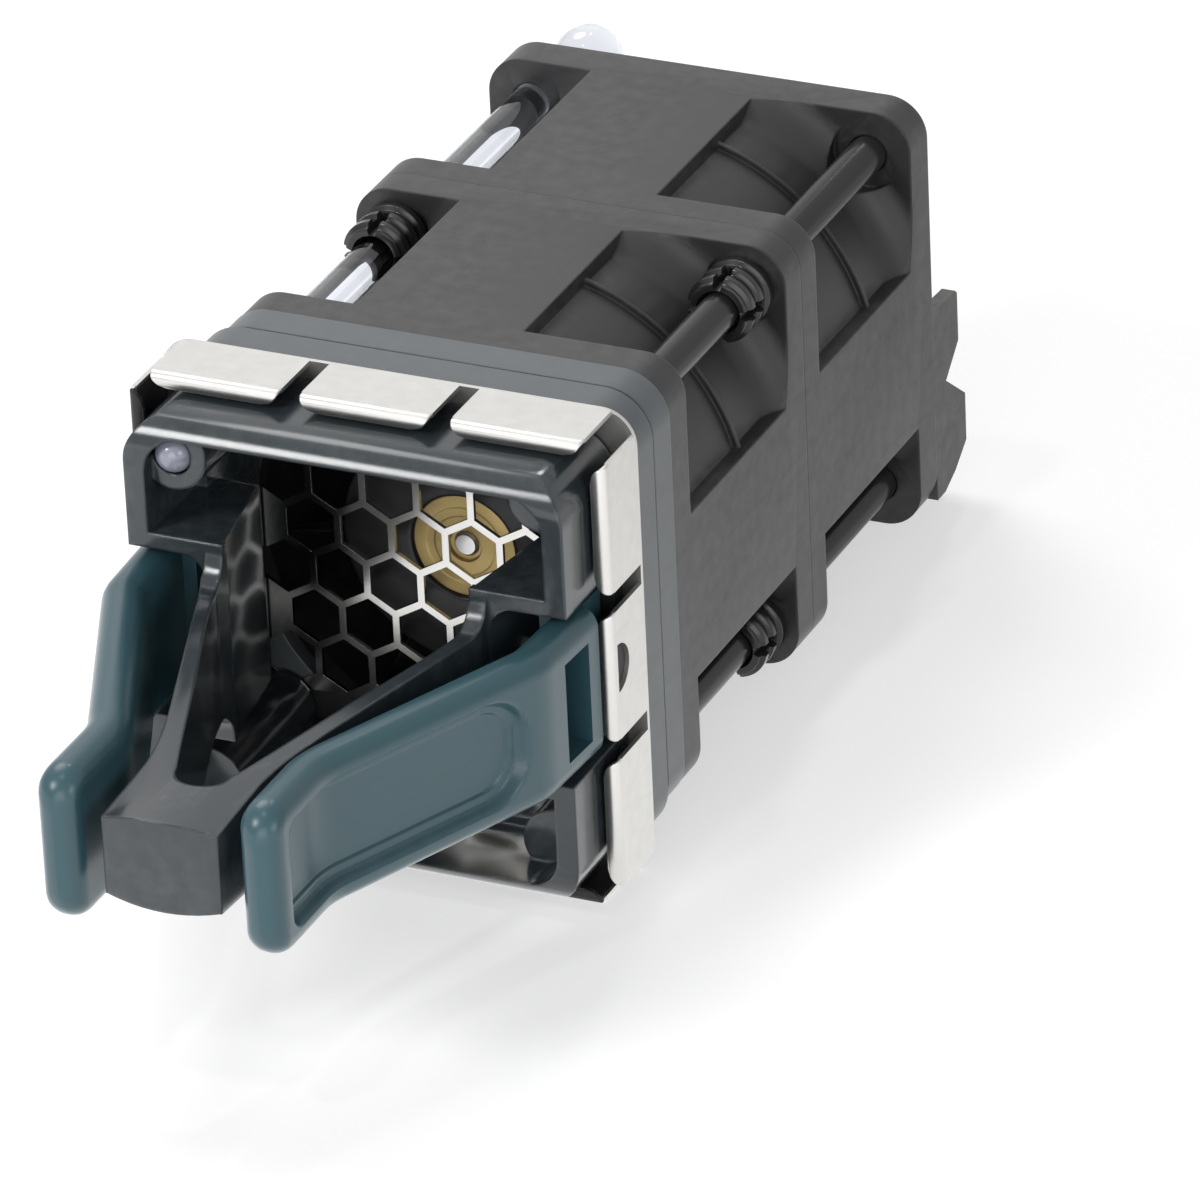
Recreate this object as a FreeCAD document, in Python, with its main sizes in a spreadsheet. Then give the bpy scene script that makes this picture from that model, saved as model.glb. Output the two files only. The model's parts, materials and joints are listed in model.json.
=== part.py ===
"""Hot-swap server fan module: two 40 mm axial fans in series behind a pinch-latch bezel.

Local frame while modelling: the fan axis is the Y axis, y = 0 is the front face of the
front fan's flange, +Y points to the rear and +Z up. Every finished sub-part is then placed
so that the module's origin lies under the middle of its bounding box, on the base.
"""
import FreeCAD, Part
import math
import os
import re
from FreeCAD import Placement, Rotation, Vector

SIZES = (
    # whole module
    ("axis_height", 21.5, "fan axis above the base"),
    ("front_flange_y", -4.0, "front flange face from the module's middle"),
    # fans
    ("flange_side", 40.0, "side of a fan flange"),
    ("flange_corner", 3.5, "flange corner radius"),
    ("outer_flange", 3.8, "thickness of the foremost and rearmost flange"),
    ("inner_flange", 3.2, "thickness of the two flanges that meet"),
    ("fan_depth", 28.0, "depth of one fan"),
    ("hole_offset", 16.0, "corner hole from the axis, half the 32 mm pitch"),
    ("rod_radius", 1.65, "tie rod and light pipe"),
    ("rod_clearance", 0.1, "corner hole over rod"),
    ("duct_radius", 19.3, "outside of the round duct"),
    ("bore_radius", 18.5, "inside of the round duct"),
    ("inlet_radius", 19.5, "bell mouth at the inlet face"),
    ("inlet_depth", 1.5, "depth of the bell mouth"),
    ("flat_long", 10.0, "long reach of each outer flat from its middle"),
    ("flat_short", 5.5, "short reach of each outer flat from its middle"),
    ("rib_radius", 19.85, "thin rib round the duct"),
    ("rib_width", 0.45, "width of that rib"),
    ("rib_offset", 16.0, "rib from the fan's front face"),
    ("flare_radius", 23.2, "duct flare where it meets the rear flange"),
    ("flare_round", 3.93, "hollow rounding of the flare"),
    ("vane_thick", 0.9, "stator vane"),
    ("vane_depth", 5.0, "stator vane along the axis"),
    ("vane_pitch", 25.0, "stator vane's lean in degrees"),
    ("seat_radius", 10.6, "motor seat disc"),
    ("seat_thick", 2.4, "motor seat disc"),
    # rotor and motor, depths from the fan's front face
    ("hub_front", 1.2, "impeller hub face"),
    ("hub_rear", 21.5, "open rim of the hub"),
    ("hub_radius", 11.2, "outside of the hub"),
    ("hub_wall", 1.0, "hub side wall"),
    ("hub_face", 1.2, "hub front wall"),
    ("tip_radius", 18.15, "blade tips"),
    ("blade_front", 3.2, "leading edges"),
    ("blade_depth", 15.0, "blades along the axis"),
    ("blade_thick", 1.1, "thickest part of a blade"),
    ("blade_camber", 1.3, "bow of a blade's middle"),
    ("root_sweep", 7.0, "how far a blade turns at its root"),
    ("tip_sweep", 11.5, "how far a blade turns at its tip"),
    ("boss_radius", 4.7, "brass boss in the hub's face"),
    ("boss_front", 1.6, "front face of the boss"),
    ("neck_radius", 2.5, "neck of the boss"),
    ("neck_rear", 5.0, "rear end of the neck"),
    ("cup_wall", 0.6, "steel rotor cup"),
    ("cup_rear", 20.5, "open rim of the rotor cup"),
    ("magnet_thick", 1.1, "ring magnet"),
    ("magnet_front", 6.0, "front of the magnet"),
    ("magnet_rear", 19.0, "rear of the magnet"),
    ("core_radius", 8.1, "stator laminations"),
    ("core_front", 8.0, "front of the laminations"),
    ("core_rear", 17.0, "rear of the laminations"),
    ("pole_width", 2.4, "neck of a stator pole"),
    ("coil_width", 4.4, "winding across a pole"),
    ("board_radius", 9.4, "motor circuit board"),
    ("board_front", 22.4, "front of the board"),
    ("board_thick", 0.8, "board"),
    ("tube_radius", 3.6, "outside of the bearing tube"),
    ("bearing_radius", 3.0, "bearing outer ring"),
    ("bearing_width", 2.3, "bearing"),
    ("bearing_front", 5.7, "front bearing"),
    ("bearing_rear", 21.8, "rear bearing"),
    ("shaft_radius", 1.1, "rotor shaft"),
    ("shaft_front", 1.8, "shaft end in the boss"),
    ("shaft_rear", 25.3, "shaft end behind the rear bearing"),
    ("running_gap", 0.03, "shaft in its bearings"),
    # rod collars
    ("collar_radius", 3.05, "outside of a rod collar"),
    ("collar_groove", 0.4, "depth of the grooves between its ridges"),
    ("collar_depth", 5.2, "collar along the rod"),
    # grey rear frame of the bezel
    ("frame_front", -9.3, "front edge of the grey frame"),
    ("frame_front_side", 41.2, "side of its front band"),
    ("frame_rear_side", 40.5, "side of its rear band"),
    ("frame_corner", 4.2, "corner radius of the bands"),
    ("groove_front", -4.3, "groove between the bands"),
    ("groove_rear", -3.5, "groove between the bands"),
    ("groove_side", 39.4, "side across the groove"),
    ("web_thick", 1.6, "rear web of the frame"),
    # sheet-metal shield
    ("sheet", 0.4, "sheet thickness"),
    ("shield_side", 43.0, "across opposite fingers"),
    ("shield_wall_side", 37.6, "outside of the folded box"),
    ("shield_corner", 3.0, "corner radius of the folded box"),
    ("finger_front", -16.0, "free ends of the fingers"),
    ("finger_reach", 19.5, "outermost edge of a finger row"),
    ("finger_inner", 7.7, "inner edge of the outer fingers"),
    ("finger_middle", 5.9, "half width of the middle finger"),
    ("finger_lip", 1.3, "lip folded at the free ends"),
    ("window_radius", 2.2, "latch window of a side finger"),
    ("window_y", -14.9, "flat edge of that window"),
    ("window_rise", 0.6, "window above the axis"),
    ("cell_pitch", 5.0, "honeycomb pitch"),
    ("cell_strand", 0.62, "metal between two cells"),
    ("cell_rise", 1.6, "middle row of cells above the axis"),
    ("cell_field", 17.2, "half side of the perforated field"),
    # bezel
    ("bezel_side", 39.6, "outside of the bezel's square tube"),
    ("bezel_corner", 4.2, "its corner radius"),
    ("bezel_wall", 1.9, "its wall"),
    ("bezel_front", -20.8, "front edge of its side walls"),
    ("bezel_step", -9.9, "where the tube steps into the shield"),
    ("bezel_rear", -2.2, "rear end of the tube"),
    ("bezel_bow", 3.4, "rounding of the front edge towards top and bottom"),
    ("tail_side", 36.6, "outside of the tube's tail"),
    ("tail_wall", 1.4, "wall of the tail"),
    ("post_radius", 3.1, "corner posts for the tie rods"),
    ("post_front", -16.5, "front face of a post"),
    ("pipe_boss_front", -19.4, "front face of the light pipe's boss"),
    ("rod_front", -12.0, "front end of the tie rods"),
    # side pockets for the levers
    ("pocket_height", 7.8, "half height of a lever pocket"),
    ("pocket_wall", 1.4, "walls round a pocket"),
    ("pocket_corner", 2.2, "rounding along a pocket's inner edges"),
    ("pocket_inner_front", 12.7, "pocket's inner face at the front"),
    ("pocket_inner_rear", 14.4, "pocket's inner face at the rear"),
    ("pocket_rear", -11.4, "rear face of a pocket"),
    # yoke and nose
    ("arm_root_height", 5.8, "half height of an arm behind its fillet"),
    ("arm_fillet", 3.4, "fillet from the pocket block to the arm"),
    ("nose_height", 3.5, "half height of the nose along its sides"),
    ("crown_height", 4.15, "half height of the nose along its middle"),
    ("crown_radius", 19.3, "crown across the nose"),
    ("crown_rear", -44.0, "where the crown has run out"),
    ("nose_half", 5.15, "half width of the nose"),
    ("nose_front", -56.1, "front edges of the nose"),
    ("nose_bow", 0.3, "bow of the nose's face"),
    ("notch_front", -50.0, "round end of the gap between the arms"),
    # levers
    ("lever_height", 6.9, "half height of a lever"),
    ("lever_outer", 20.6, "outer face at the rear"),
    ("lever_thick", 3.7, "lever rim"),
    ("lever_shoulder", -16.5, "shoulder in front of the finger"),
    ("lever_bend", -25.5, "where the lever turns inwards"),
    ("lever_knee", -47.0, "where it turns parallel to the nose"),
    ("lever_tip_outer", 10.8, "outer face at the tip"),
    ("lever_front", -57.1, "tip of the lever"),
    ("lever_edge", 1.3, "rounded rim"),
    ("lever_corner", 2.6, "corner radius of the tip seen from the side"),
    ("lever_bend_round", 7.0, "radius of the lever's bends"),
    ("lever_tip_round", 1.5, "radius of the tip in plan"),
    ("pad_corner", 3.2, "corner radius of the thumb recess"),
    ("pad_depth", 1.1, "thumb recess"),
    ("pad_half", 4.9, "half height of the recess"),
    ("pad_front", -54.4, "front end of the recess"),
    ("pad_rear", -27.6, "rear end of the recess"),
    ("lever_window_front", -22.4, "window near the rear"),
    ("lever_window_rear", -18.3, "window near the rear"),
    ("lever_window_half", 4.5, "half height of the window"),
    ("pin_x", 17.4, "hinge pin from the middle plane"),
    ("pin_y", -13.3, "hinge pin"),
    ("pin_radius", 0.8, "hinge pin"),
    ("pin_gap", 0.05, "lever bore over the pin"),
    ("knuckle_radius", 1.8, "rear end of the lever round the pin"),
    ("spring_inner", 13.95, "feet of the leaf spring"),
    ("spring_outer", 15.28, "crest of the leaf spring"),
    ("spring_front", -20.2, "front foot"),
    ("spring_rear", -15.6, "rear foot"),
    ("spring_thick", 0.25, "strip of the leaf spring"),
    ("spring_height", 5.0, "its height"),
    # light pipe and rear end
    ("pipe_front", -20.4, "top of the light pipe's dome"),
    ("lens_radius", 3.1, "round lens at the rear end of the light pipe"),
    ("lens_y", 62.0, "middle of the lens"),
    ("lens_inset", 1.2, "lens from the pipe's axis towards the middle"),
    ("head_radius", 2.5, "rear head of a tie rod"),
    ("head_thick", 0.8, "rear head of a tie rod"),
    ("bracket_thick", 1.8, "rear bracket plate"),
    ("lug_thick", 1.7, "lugs of the bracket"),
    ("plate_inner", 12.6, "inner edge of the bracket plate"),
    ("plate_bottom", -19.0, "lower edge of the bracket plate"),
    ("plate_top", -0.6, "upper edge of the bracket plate"),
    ("shroud_inner", 13.9, "connector's inner side"),
    ("shroud_outer", 18.1, "connector's outer side"),
    ("shroud_bottom", -18.2, "connector's lower side"),
    ("shroud_top", -13.5, "connector's upper side"),
    ("shroud_wall", 0.6, "wall round the connector's socket"),
    ("shroud_floor", 1.8, "floor of the connector's socket"),
    ("contact_width", 0.5, "contact blade across"),
    ("contact_height", 0.7, "contact blade upright"),
    ("contact_column", 1.5, "pitch of the contacts across"),
    ("contact_row", 1.15, "pitch of the contacts upright"),
    ("lower_lug_rear", 62.8, "end of the lower lug and of the connector"),
)

doc = FreeCAD.newDocument("fan_module")
sheet = doc.addObject("Spreadsheet::Sheet", "Sizes")
for row, (alias, number, meaning) in enumerate(SIZES, start=1):
    sheet.set(f"A{row}", meaning)
    sheet.set(f"B{row}", str(number))
    sheet.setAlias(f"B{row}", alias)
doc.recompute()

ALONG_Y = Rotation(Vector(1, 0, 0), -90)
ALONG_X = Rotation(Vector(0, 1, 0), 90)
nodes = []


# ---------------------------------------------------------------- helpers

def size(alias):
    """One number of the sheet."""
    return float(sheet.get(alias))


def formula(text):
    """An expression in which each plain word is a cell of the sheet."""
    return re.sub(r"\b([a-z][a-z_]*)\b", r"Sizes.\1", str(text))


def place(item, x, y, z):
    """Bind an object's position to the sheet."""
    for axis, text in zip("xyz", (x, y, z)):
        item.setExpression(f"Placement.Base.{axis}", formula(text))
    return item


def block(name, spans_x, spans_y, spans_z):
    """A box between two formulas on each axis."""
    item = doc.addObject("Part::Box", name)
    for side, (low, high) in zip(("Length", "Width", "Height"), (spans_x, spans_y, spans_z)):
        item.setExpression(side, formula(f"({high}) - ({low})"))
    return place(item, spans_x[0], spans_y[0], spans_z[0])


def drum(name, radius, start, end, x="0", z="0"):
    """A cylinder along Y from start to end."""
    item = doc.addObject("Part::Cylinder", name)
    item.setExpression("Radius", formula(radius))
    item.setExpression("Height", formula(f"({end}) - ({start})"))
    item.Placement.Rotation = ALONG_Y
    return place(item, x, start, z)


def post(name, radius, bottom, top, x, y):
    """A cylinder along Z."""
    item = doc.addObject("Part::Cylinder", name)
    item.setExpression("Radius", formula(radius))
    item.setExpression("Height", formula(f"({top}) - ({bottom})"))
    return place(item, x, y, bottom)


def cone(name, front_radius, rear_radius, start, end):
    """A cone along Y from start to end."""
    item = doc.addObject("Part::Cone", name)
    item.setExpression("Radius1", formula(front_radius))
    item.setExpression("Radius2", formula(rear_radius))
    item.setExpression("Height", formula(f"({end}) - ({start})"))
    item.Placement.Rotation = ALONG_Y
    return place(item, "0", start, "0")


def torus(name, radius, section, along):
    """A round ring about the axis, at one place along Y."""
    item = doc.addObject("Part::Torus", name)
    item.setExpression("Radius1", formula(radius))
    item.setExpression("Radius2", formula(section))
    item.Placement.Rotation = ALONG_Y
    return place(item, "0", along, "0")


def fuse(name, *items):
    """Join several objects into one."""
    item = doc.addObject("Part::MultiFuse", name)
    item.Shapes = list(items)
    return item


def cut(name, base, *tools):
    """Take one or more objects away from the first."""
    item = doc.addObject("Part::Cut", name)
    item.Base = base
    item.Tool = tools[0] if len(tools) == 1 else fuse(f"{name}_tools", *tools)
    return item


def common(name, *items):
    """Keep what all the objects share."""
    item = doc.addObject("Part::MultiCommon", name)
    item.Shapes = list(items)
    return item


def single(name, source):
    """One object on its own, so that it can be placed anew."""
    item = doc.addObject("Part::Compound", name)
    item.Links = [source]
    return item


def round_edges(name, base, radius, chosen):
    """Fillet the edges of the base that the test accepts."""
    doc.recompute()
    item = doc.addObject("Part::Fillet", name)
    item.Base = base
    rounded = size(radius)
    item.Edges = [(number, rounded, rounded)
                  for number, edge in enumerate(base.Shape.Edges, start=1) if chosen(edge)]
    return item


def runs_along(axis):
    """A test for straight edges parallel to one axis."""
    def test(edge):
        direction = edge.Vertexes[-1].Point - edge.Vertexes[0].Point
        return direction.Length > 0 and abs(abs(direction.normalize().dot(axis)) - 1) < 1e-6
    return test


def square(name, side, corner, start, end):
    """A square block round the axis with rounded corners."""
    half = f"({side})/2"
    base = block(f"{name}_block", (f"-{half}", half), (start, end), (f"-{half}", half))
    return round_edges(name, base, corner, runs_along(Vector(0, 1, 0)))


def ring(name, outer, inner, start, end, x="0", z="0"):
    """A plain ring along Y."""
    return cut(name, drum(f"{name}_outside", outer, start, end, x, z),
               drum(f"{name}_hole", inner, f"({start}) - 1", f"({end}) + 1", x, z))


def outline(name, edges):
    """A sketch in the plan view, from lines and curves already joined end to end."""
    item = doc.addObject("Sketcher::SketchObject", name)
    item.addGeometry(list(edges), False)
    return item


def lines(*points):
    """Straight edges through plan points (x, y)."""
    corners = [Vector(x, y, 0) for x, y in points]
    return [Part.LineSegment(a, b) for a, b in zip(corners, corners[1:])]


def curve(*points):
    """One smooth edge through plan points (x, y)."""
    spline = Part.BSplineCurve()
    spline.interpolate([Vector(x, y, 0) for x, y in points])
    return [spline]


def extrude(name, sketch, direction, length):
    """Carry a flat outline along a direction, half of the length to each side."""
    item = doc.addObject("Part::Extrusion", name)
    item.Base = sketch
    item.DirMode = "Custom"
    item.Dir = direction
    item.setExpression("LengthFwd", formula(length))
    item.Solid = True
    item.Symmetric = True
    return item


def mirrored(name, source):
    """The same piece on the other side of the middle plane."""
    item = doc.addObject("Part::Mirroring", name)
    item.Source = source
    item.Normal = Vector(1, 0, 0)
    return item


def around(name, source, count):
    """Copies of one shape spread evenly round the fan axis, joined as a compound."""
    doc.recompute()
    item = doc.addObject("Part::Feature", name)
    copies = []
    for number in range(count):
        copy = source.Shape.copy()
        copy.rotate(Vector(0, 0, 0), Vector(0, 1, 0), number * 360.0 / count)
        copies.append(copy)
    item.Shape = Part.makeCompound(copies)
    return item


def node(label, item):
    """Make an object a finished sub-part and set it in the module's frame."""
    item.Label = label
    item.setExpression("Placement.Base.y", formula("front_flange_y"))
    item.setExpression("Placement.Base.z", formula("axis_height"))
    nodes.append(item)
    return item


CORNERS = (("upper_left", -1, 1), ("upper_right", 1, 1),
           ("lower_left", -1, -1), ("lower_right", 1, -1))

# Half widths of the yoke in plan, from its root at the pockets to the nose: (x, y).
ARM_OUTSIDE = ((10.4, -29.0), (7.5, -38.0), (5.75, -44.0))
ARM_END = -48.0
GAP_SIDE = ((11.0, -22.5), (9.6, -27.5), (7.2, -34.0), (5.3, -39.5), (3.7, -44.2), (2.4, -47.8))
GAP_ROOT = 11.2

# Side view of the bracket's two lugs: (distance behind the rear flange, height).
LUG_OUTLINE = ((0.0, -19.0), (0.0, -0.5), (5.2, -0.8), (5.6, -1.2), (5.6, -5.8), (2.6, -8.4),
               (6.8, -11.6), (6.8, -16.2), (4.2, -18.0), (1.8, -19.0), (0.0, -19.0))


def corner_drums(name, radius, start, end):
    """Four cylinders on the corner holes."""
    return [drum(f"{name}_{corner}", radius, start, end, f"{right}*hole_offset", f"{up}*hole_offset")
            for corner, right, up in CORNERS]


# ---------------------------------------------------------------- fans

def fan_housing(tag, start, front_flange, rear_flange, vanes):
    """Moulded housing: two flanges, round duct, flats, ribs, flare, stator vanes and motor seat."""
    end = f"{start} + fan_depth"
    flange_face = f"{end} - {rear_flange}"
    flat_span = (f"{start} + 1", f"{end} - 1")
    half = "flange_side/2"
    solid = [
        square(f"{tag}_front_flange", "flange_side", "flange_corner", start, f"{start} + {front_flange}"),
        square(f"{tag}_rear_flange", "flange_side", "flange_corner", flange_face, end),
        drum(f"{tag}_duct", "duct_radius", start, end),
        drum(f"{tag}_rib", "rib_radius", f"{start} + rib_offset", f"{start} + rib_offset + rib_width"),
        block(f"{tag}_top_flat", ("-flat_long", "flat_short"), flat_span, ("0", half)),
        block(f"{tag}_right_flat", ("0", half), flat_span, ("-flat_long", "flat_short")),
        block(f"{tag}_base_flat", ("-flat_short", "flat_long"), flat_span, (f"-{half}", "0")),
        block(f"{tag}_left_flat", (f"-{half}", "0"), flat_span, ("-flat_short", "flat_long")),
        common(f"{tag}_flare",
               cut(f"{tag}_flare_hollow",
                   drum(f"{tag}_flare_blank", "flare_radius", f"{flange_face} - flare_round", flange_face),
                   torus(f"{tag}_flare_round", "flare_radius", "flare_round", f"{flange_face} - flare_round")),
               square(f"{tag}_flare_limit", "flange_side", "flange_corner", start, end)),
    ]
    hollow = [
        drum(f"{tag}_bore", "bore_radius", f"{start} - 1", f"{end} + 1"),
        cone(f"{tag}_inlet", "inlet_radius + 0.6", "bore_radius", f"{start} - 1", f"{start} + inlet_depth"),
    ]
    hollow += corner_drums(f"{tag}_rod_hole", "rod_radius + rod_clearance", f"{start} - 1", f"{end} + 1")
    hollow += corner_drums(f"{tag}_screw_recess", "collar_radius + 0.15",
                           f"{flange_face} - collar_depth - 1", flange_face)
    shell = cut(f"{tag}_shell", fuse(f"{tag}_mass", *solid), *hollow)

    vane = block(f"{tag}_vane_blank", ("0", "bore_radius - seat_radius + 0.9"),
                 ("0", "vane_depth"), ("0", "vane_thick"))
    vane.Placement.Rotation = Rotation(Vector(1, 0, 0), size("vane_pitch"))
    place(vane, "seat_radius - 0.6", f"{end} - 0.2 - vane_depth", "-1.2")
    vane_set = around(f"{tag}_vanes", vane, vanes)
    seat = drum(f"{tag}_seat", "seat_radius", f"{end} - seat_thick", end)
    grown = fuse(f"{tag}_grown", shell, seat, vane_set)
    tube_hole = drum(f"{tag}_tube_hole", "tube_radius", f"{end} - 5", f"{end} - 0.8")
    return node(f"fan_housing_{tag}", cut(f"{tag}_housing", grown, tube_hole))


def blade_section(name, radius, sweep, hand):
    """One flat section of a blade: two arcs between its leading and its trailing edge."""
    depth = size("blade_depth")
    thick = size("blade_thick")
    camber = size("blade_camber")
    front = Vector(-hand * sweep / 2, 0, 0)
    rear = Vector(hand * sweep / 2, depth, 0)
    middle = (front + rear) / 2 + Vector(-hand * camber, camber * sweep / depth, 0)
    across = Vector(depth, -hand * sweep, 0).normalize() * (thick / 2)
    item = outline(name, [Part.Arc(front, middle + across, rear), Part.Arc(rear, middle - across, front)])
    item.Placement = Placement(Vector(radius, 0, 0), Rotation(Vector(0, 1, 0), -90))
    return item


def impeller(tag, start, blades, hand):
    """Hub cup with twisted blades that turn one way or the other."""
    root = size("hub_radius") - size("hub_wall") / 2
    tip = size("tip_radius") + 0.4
    turn = (size("root_sweep"), size("tip_sweep"))
    reach = (root, tip)
    loft = doc.addObject("Part::Loft", f"{tag}_blade")
    loft.Sections = [blade_section(f"{tag}_section_{number}", radius, sweep, hand)
                     for number, (radius, sweep) in enumerate(zip(reach, turn))]
    loft.Solid = True
    loft.Ruled = True
    blade_set = around(f"{tag}_blades", loft, blades)
    place(blade_set, "0", f"{start} + blade_front", "0")
    trimmed = common(f"{tag}_trimmed", blade_set,
                     drum(f"{tag}_tip_limit", "tip_radius", start, f"{start} + fan_depth"))
    hub = cut(f"{tag}_hub",
              drum(f"{tag}_hub_drum", "hub_radius", f"{start} + hub_front", f"{start} + hub_rear"),
              drum(f"{tag}_hub_inside", "hub_radius - hub_wall",
                   f"{start} + hub_front + hub_face", f"{start} + hub_rear + 1"))
    whole = fuse(f"{tag}_bladed_hub", hub, trimmed)
    opened = cut(f"{tag}_impeller", whole,
                 drum(f"{tag}_hub_eye", "boss_radius", f"{start}", f"{start} + hub_front + hub_face + 0.1"),
                 drum(f"{tag}_hub_core", "hub_radius - hub_wall",
                      f"{start} + hub_front + hub_face", f"{start} + hub_rear + 1"))
    return node(f"impeller_{tag}", opened)


def rotor(tag, start):
    """Turning metal parts: boss, steel cup, ring magnet, shaft and its clip."""
    cup = "hub_radius - hub_wall"
    face = f"{start} + hub_front + hub_face"
    boss = fuse(f"{tag}_boss_blank",
                drum(f"{tag}_boss_disc", "boss_radius", f"{start} + boss_front", face),
                drum(f"{tag}_boss_neck", "neck_radius", face, f"{start} + neck_rear"))
    node(f"rotor_boss_{tag}",
         cut(f"{tag}_boss", boss,
             drum(f"{tag}_boss_bore", "shaft_radius", start, f"{start} + neck_rear + 1"),
             drum(f"{tag}_boss_dish", "shaft_radius + 0.4", start, f"{start} + boss_front + 0.5")))
    node(f"rotor_cup_{tag}",
         cut(f"{tag}_cup", drum(f"{tag}_cup_drum", cup, face, f"{start} + cup_rear"),
             drum(f"{tag}_cup_inside", f"{cup} - cup_wall", f"{face} + cup_wall", f"{start} + cup_rear + 1"),
             drum(f"{tag}_cup_eye", "neck_radius", start, f"{start} + neck_rear + 1")))
    node(f"magnet_ring_{tag}",
         ring(f"{tag}_magnet", f"{cup} - cup_wall", f"{cup} - cup_wall - magnet_thick",
              f"{start} + magnet_front", f"{start} + magnet_rear"))
    groove_front = f"{start} + bearing_rear + bearing_width + 0.2"
    shaft = cut(f"{tag}_shaft",
                drum(f"{tag}_shaft_blank", "shaft_radius", f"{start} + shaft_front", f"{start} + shaft_rear"),
                ring(f"{tag}_clip_groove", "shaft_radius + 1", "shaft_radius - 0.3",
                     groove_front, f"{groove_front} + 0.4"))
    node(f"shaft_{tag}", shaft)
    clip = cut(f"{tag}_clip",
               ring(f"{tag}_clip_ring", "shaft_radius + 0.9", "shaft_radius - 0.3",
                    groove_front, f"{groove_front} + 0.4"),
               block(f"{tag}_clip_gap", ("-shaft_radius*0.7", "shaft_radius*0.7"),
                     (start, f"{start} + fan_depth"), ("0", "shaft_radius*3")))
    node(f"shaft_clip_{tag}", clip)


def motor(tag, start):
    """Standing motor parts: bearing tube, bearings, preload washer, laminations, coils, board."""
    node(f"bearing_tube_{tag}",
         ring(f"{tag}_tube", "tube_radius", "bearing_radius", f"{start} + bearing_front",
              f"{start} + fan_depth - seat_thick + 0.6"))
    for place_name in ("front", "rear"):
        begin = f"{start} + bearing_{place_name}"
        node(f"bearing_{tag}_{place_name}",
             ring(f"{tag}_bearing_{place_name}", "bearing_radius", "shaft_radius + running_gap",
                  begin, f"{begin} + bearing_width"))
    washer_front = f"{start} + bearing_front + bearing_width"
    washer = cut(f"{tag}_washer",
                 cone(f"{tag}_washer_outside", "bearing_radius - 0.1", "bearing_radius - 0.7",
                      washer_front, f"{washer_front} + 0.7"),
                 cone(f"{tag}_washer_inside", "bearing_radius - 0.5", "shaft_radius + 0.5",
                      f"{washer_front} - 0.05", f"{washer_front} + 0.75"))
    node(f"preload_washer_{tag}", washer)

    core_span = (f"{start} + core_front", f"{start} + core_rear")
    poles = []
    coils = []
    for turned in (0, 90):
        for name, group, half, reach, span in (
                ("pole", poles, "pole_width/2", "core_radius", core_span),
                ("coil", coils, "coil_width/2", "core_radius - 1.1",
                 (f"{core_span[0]} - 1", f"{core_span[1]} + 1"))):
            bar = block(f"{tag}_{name}_{turned}", (f"-({reach})", reach), span, (f"-{half}", half))
            if turned:
                bar.Placement = Placement(Vector(), Rotation(Vector(0, 1, 0), 90))
                place(bar, f"-({half})", span[0], reach)
            group.append(bar)
    shoes = ring(f"{tag}_shoes", "core_radius", "core_radius - 0.9", *core_span)
    gaps = []
    for turned in (45, 135):
        gap = block(f"{tag}_shoe_gap_{turned}", ("-core_radius - 1", "core_radius + 1"),
                    (start, f"{start} + fan_depth"), ("-0.8", "0.8"))
        gap.Placement.Rotation = Rotation(Vector(0, 1, 0), turned)
        angle = math.radians(turned)
        reach = size("core_radius") + 1
        gap.setExpression("Placement.Base.x", None)
        gap.setExpression("Placement.Base.z", None)
        lean = gap.Placement.Rotation.multVec(Vector(-reach, 0, -0.8))
        gap.Placement.Base = Vector(lean.x, 0, lean.z)
        gaps.append(gap)
    split_shoes = cut(f"{tag}_split_shoes", shoes, *gaps)
    middle = drum(f"{tag}_core_middle", "tube_radius + 1.1", *core_span)
    limit = drum(f"{tag}_core_limit", "core_radius", *core_span)
    core = common(f"{tag}_core_trimmed", fuse(f"{tag}_core_blank", split_shoes, middle, *poles), limit)
    tube = drum(f"{tag}_core_bore", "tube_radius", start, f"{start} + fan_depth")
    node(f"stator_core_{tag}", cut(f"{tag}_core", core, tube))

    coil_limit = drum(f"{tag}_coil_limit", "core_radius - 0.95", f"{start} + core_front - 1",
                      f"{start} + core_rear + 1")
    bundle = common(f"{tag}_coil_bundle", fuse(f"{tag}_coil_blank", *coils), coil_limit)
    node(f"stator_coils_{tag}",
         cut(f"{tag}_coils", bundle,
             drum(f"{tag}_coil_eye", "tube_radius + 1.15", f"{start} + core_front - 2",
                  f"{start} + core_rear + 2"),
             *[block(f"{tag}_pole_space_{number}", spans_x, core_span, spans_z)
               for number, (spans_x, spans_z) in enumerate((
                   (("-core_radius", "core_radius"), ("-pole_width/2", "pole_width/2")),
                   (("-pole_width/2", "pole_width/2"), ("-core_radius", "core_radius"))))]))

    board_rear = f"{start} + board_front + board_thick"
    board = fuse(f"{tag}_board_blank",
                 drum(f"{tag}_board_disc", "board_radius", f"{start} + board_front", board_rear),
                 block(f"{tag}_driver_chip", ("4.6", "7.6"), (board_rear, f"{board_rear} + 0.9"), ("-2", "2")),
                 block(f"{tag}_capacitor", ("-7", "-5"), (board_rear, f"{board_rear} + 1"), ("-1.5", "1.5")))
    node(f"motor_board_{tag}",
         cut(f"{tag}_board", board,
             drum(f"{tag}_board_eye", "tube_radius", start, f"{start} + fan_depth")))


for tag, start, front_flange, rear_flange, blades, vanes, hand in (
        ("front", "0", "outer_flange", "inner_flange", 7, 5, 1),
        ("rear", "fan_depth", "inner_flange", "outer_flange", 5, 7, -1)):
    fan_housing(tag, start, front_flange, rear_flange, vanes)
    impeller(tag, start, blades, hand)
    rotor(tag, start)
    motor(tag, start)


# ---------------------------------------------------------------- tie rods, collars, light pipe

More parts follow.
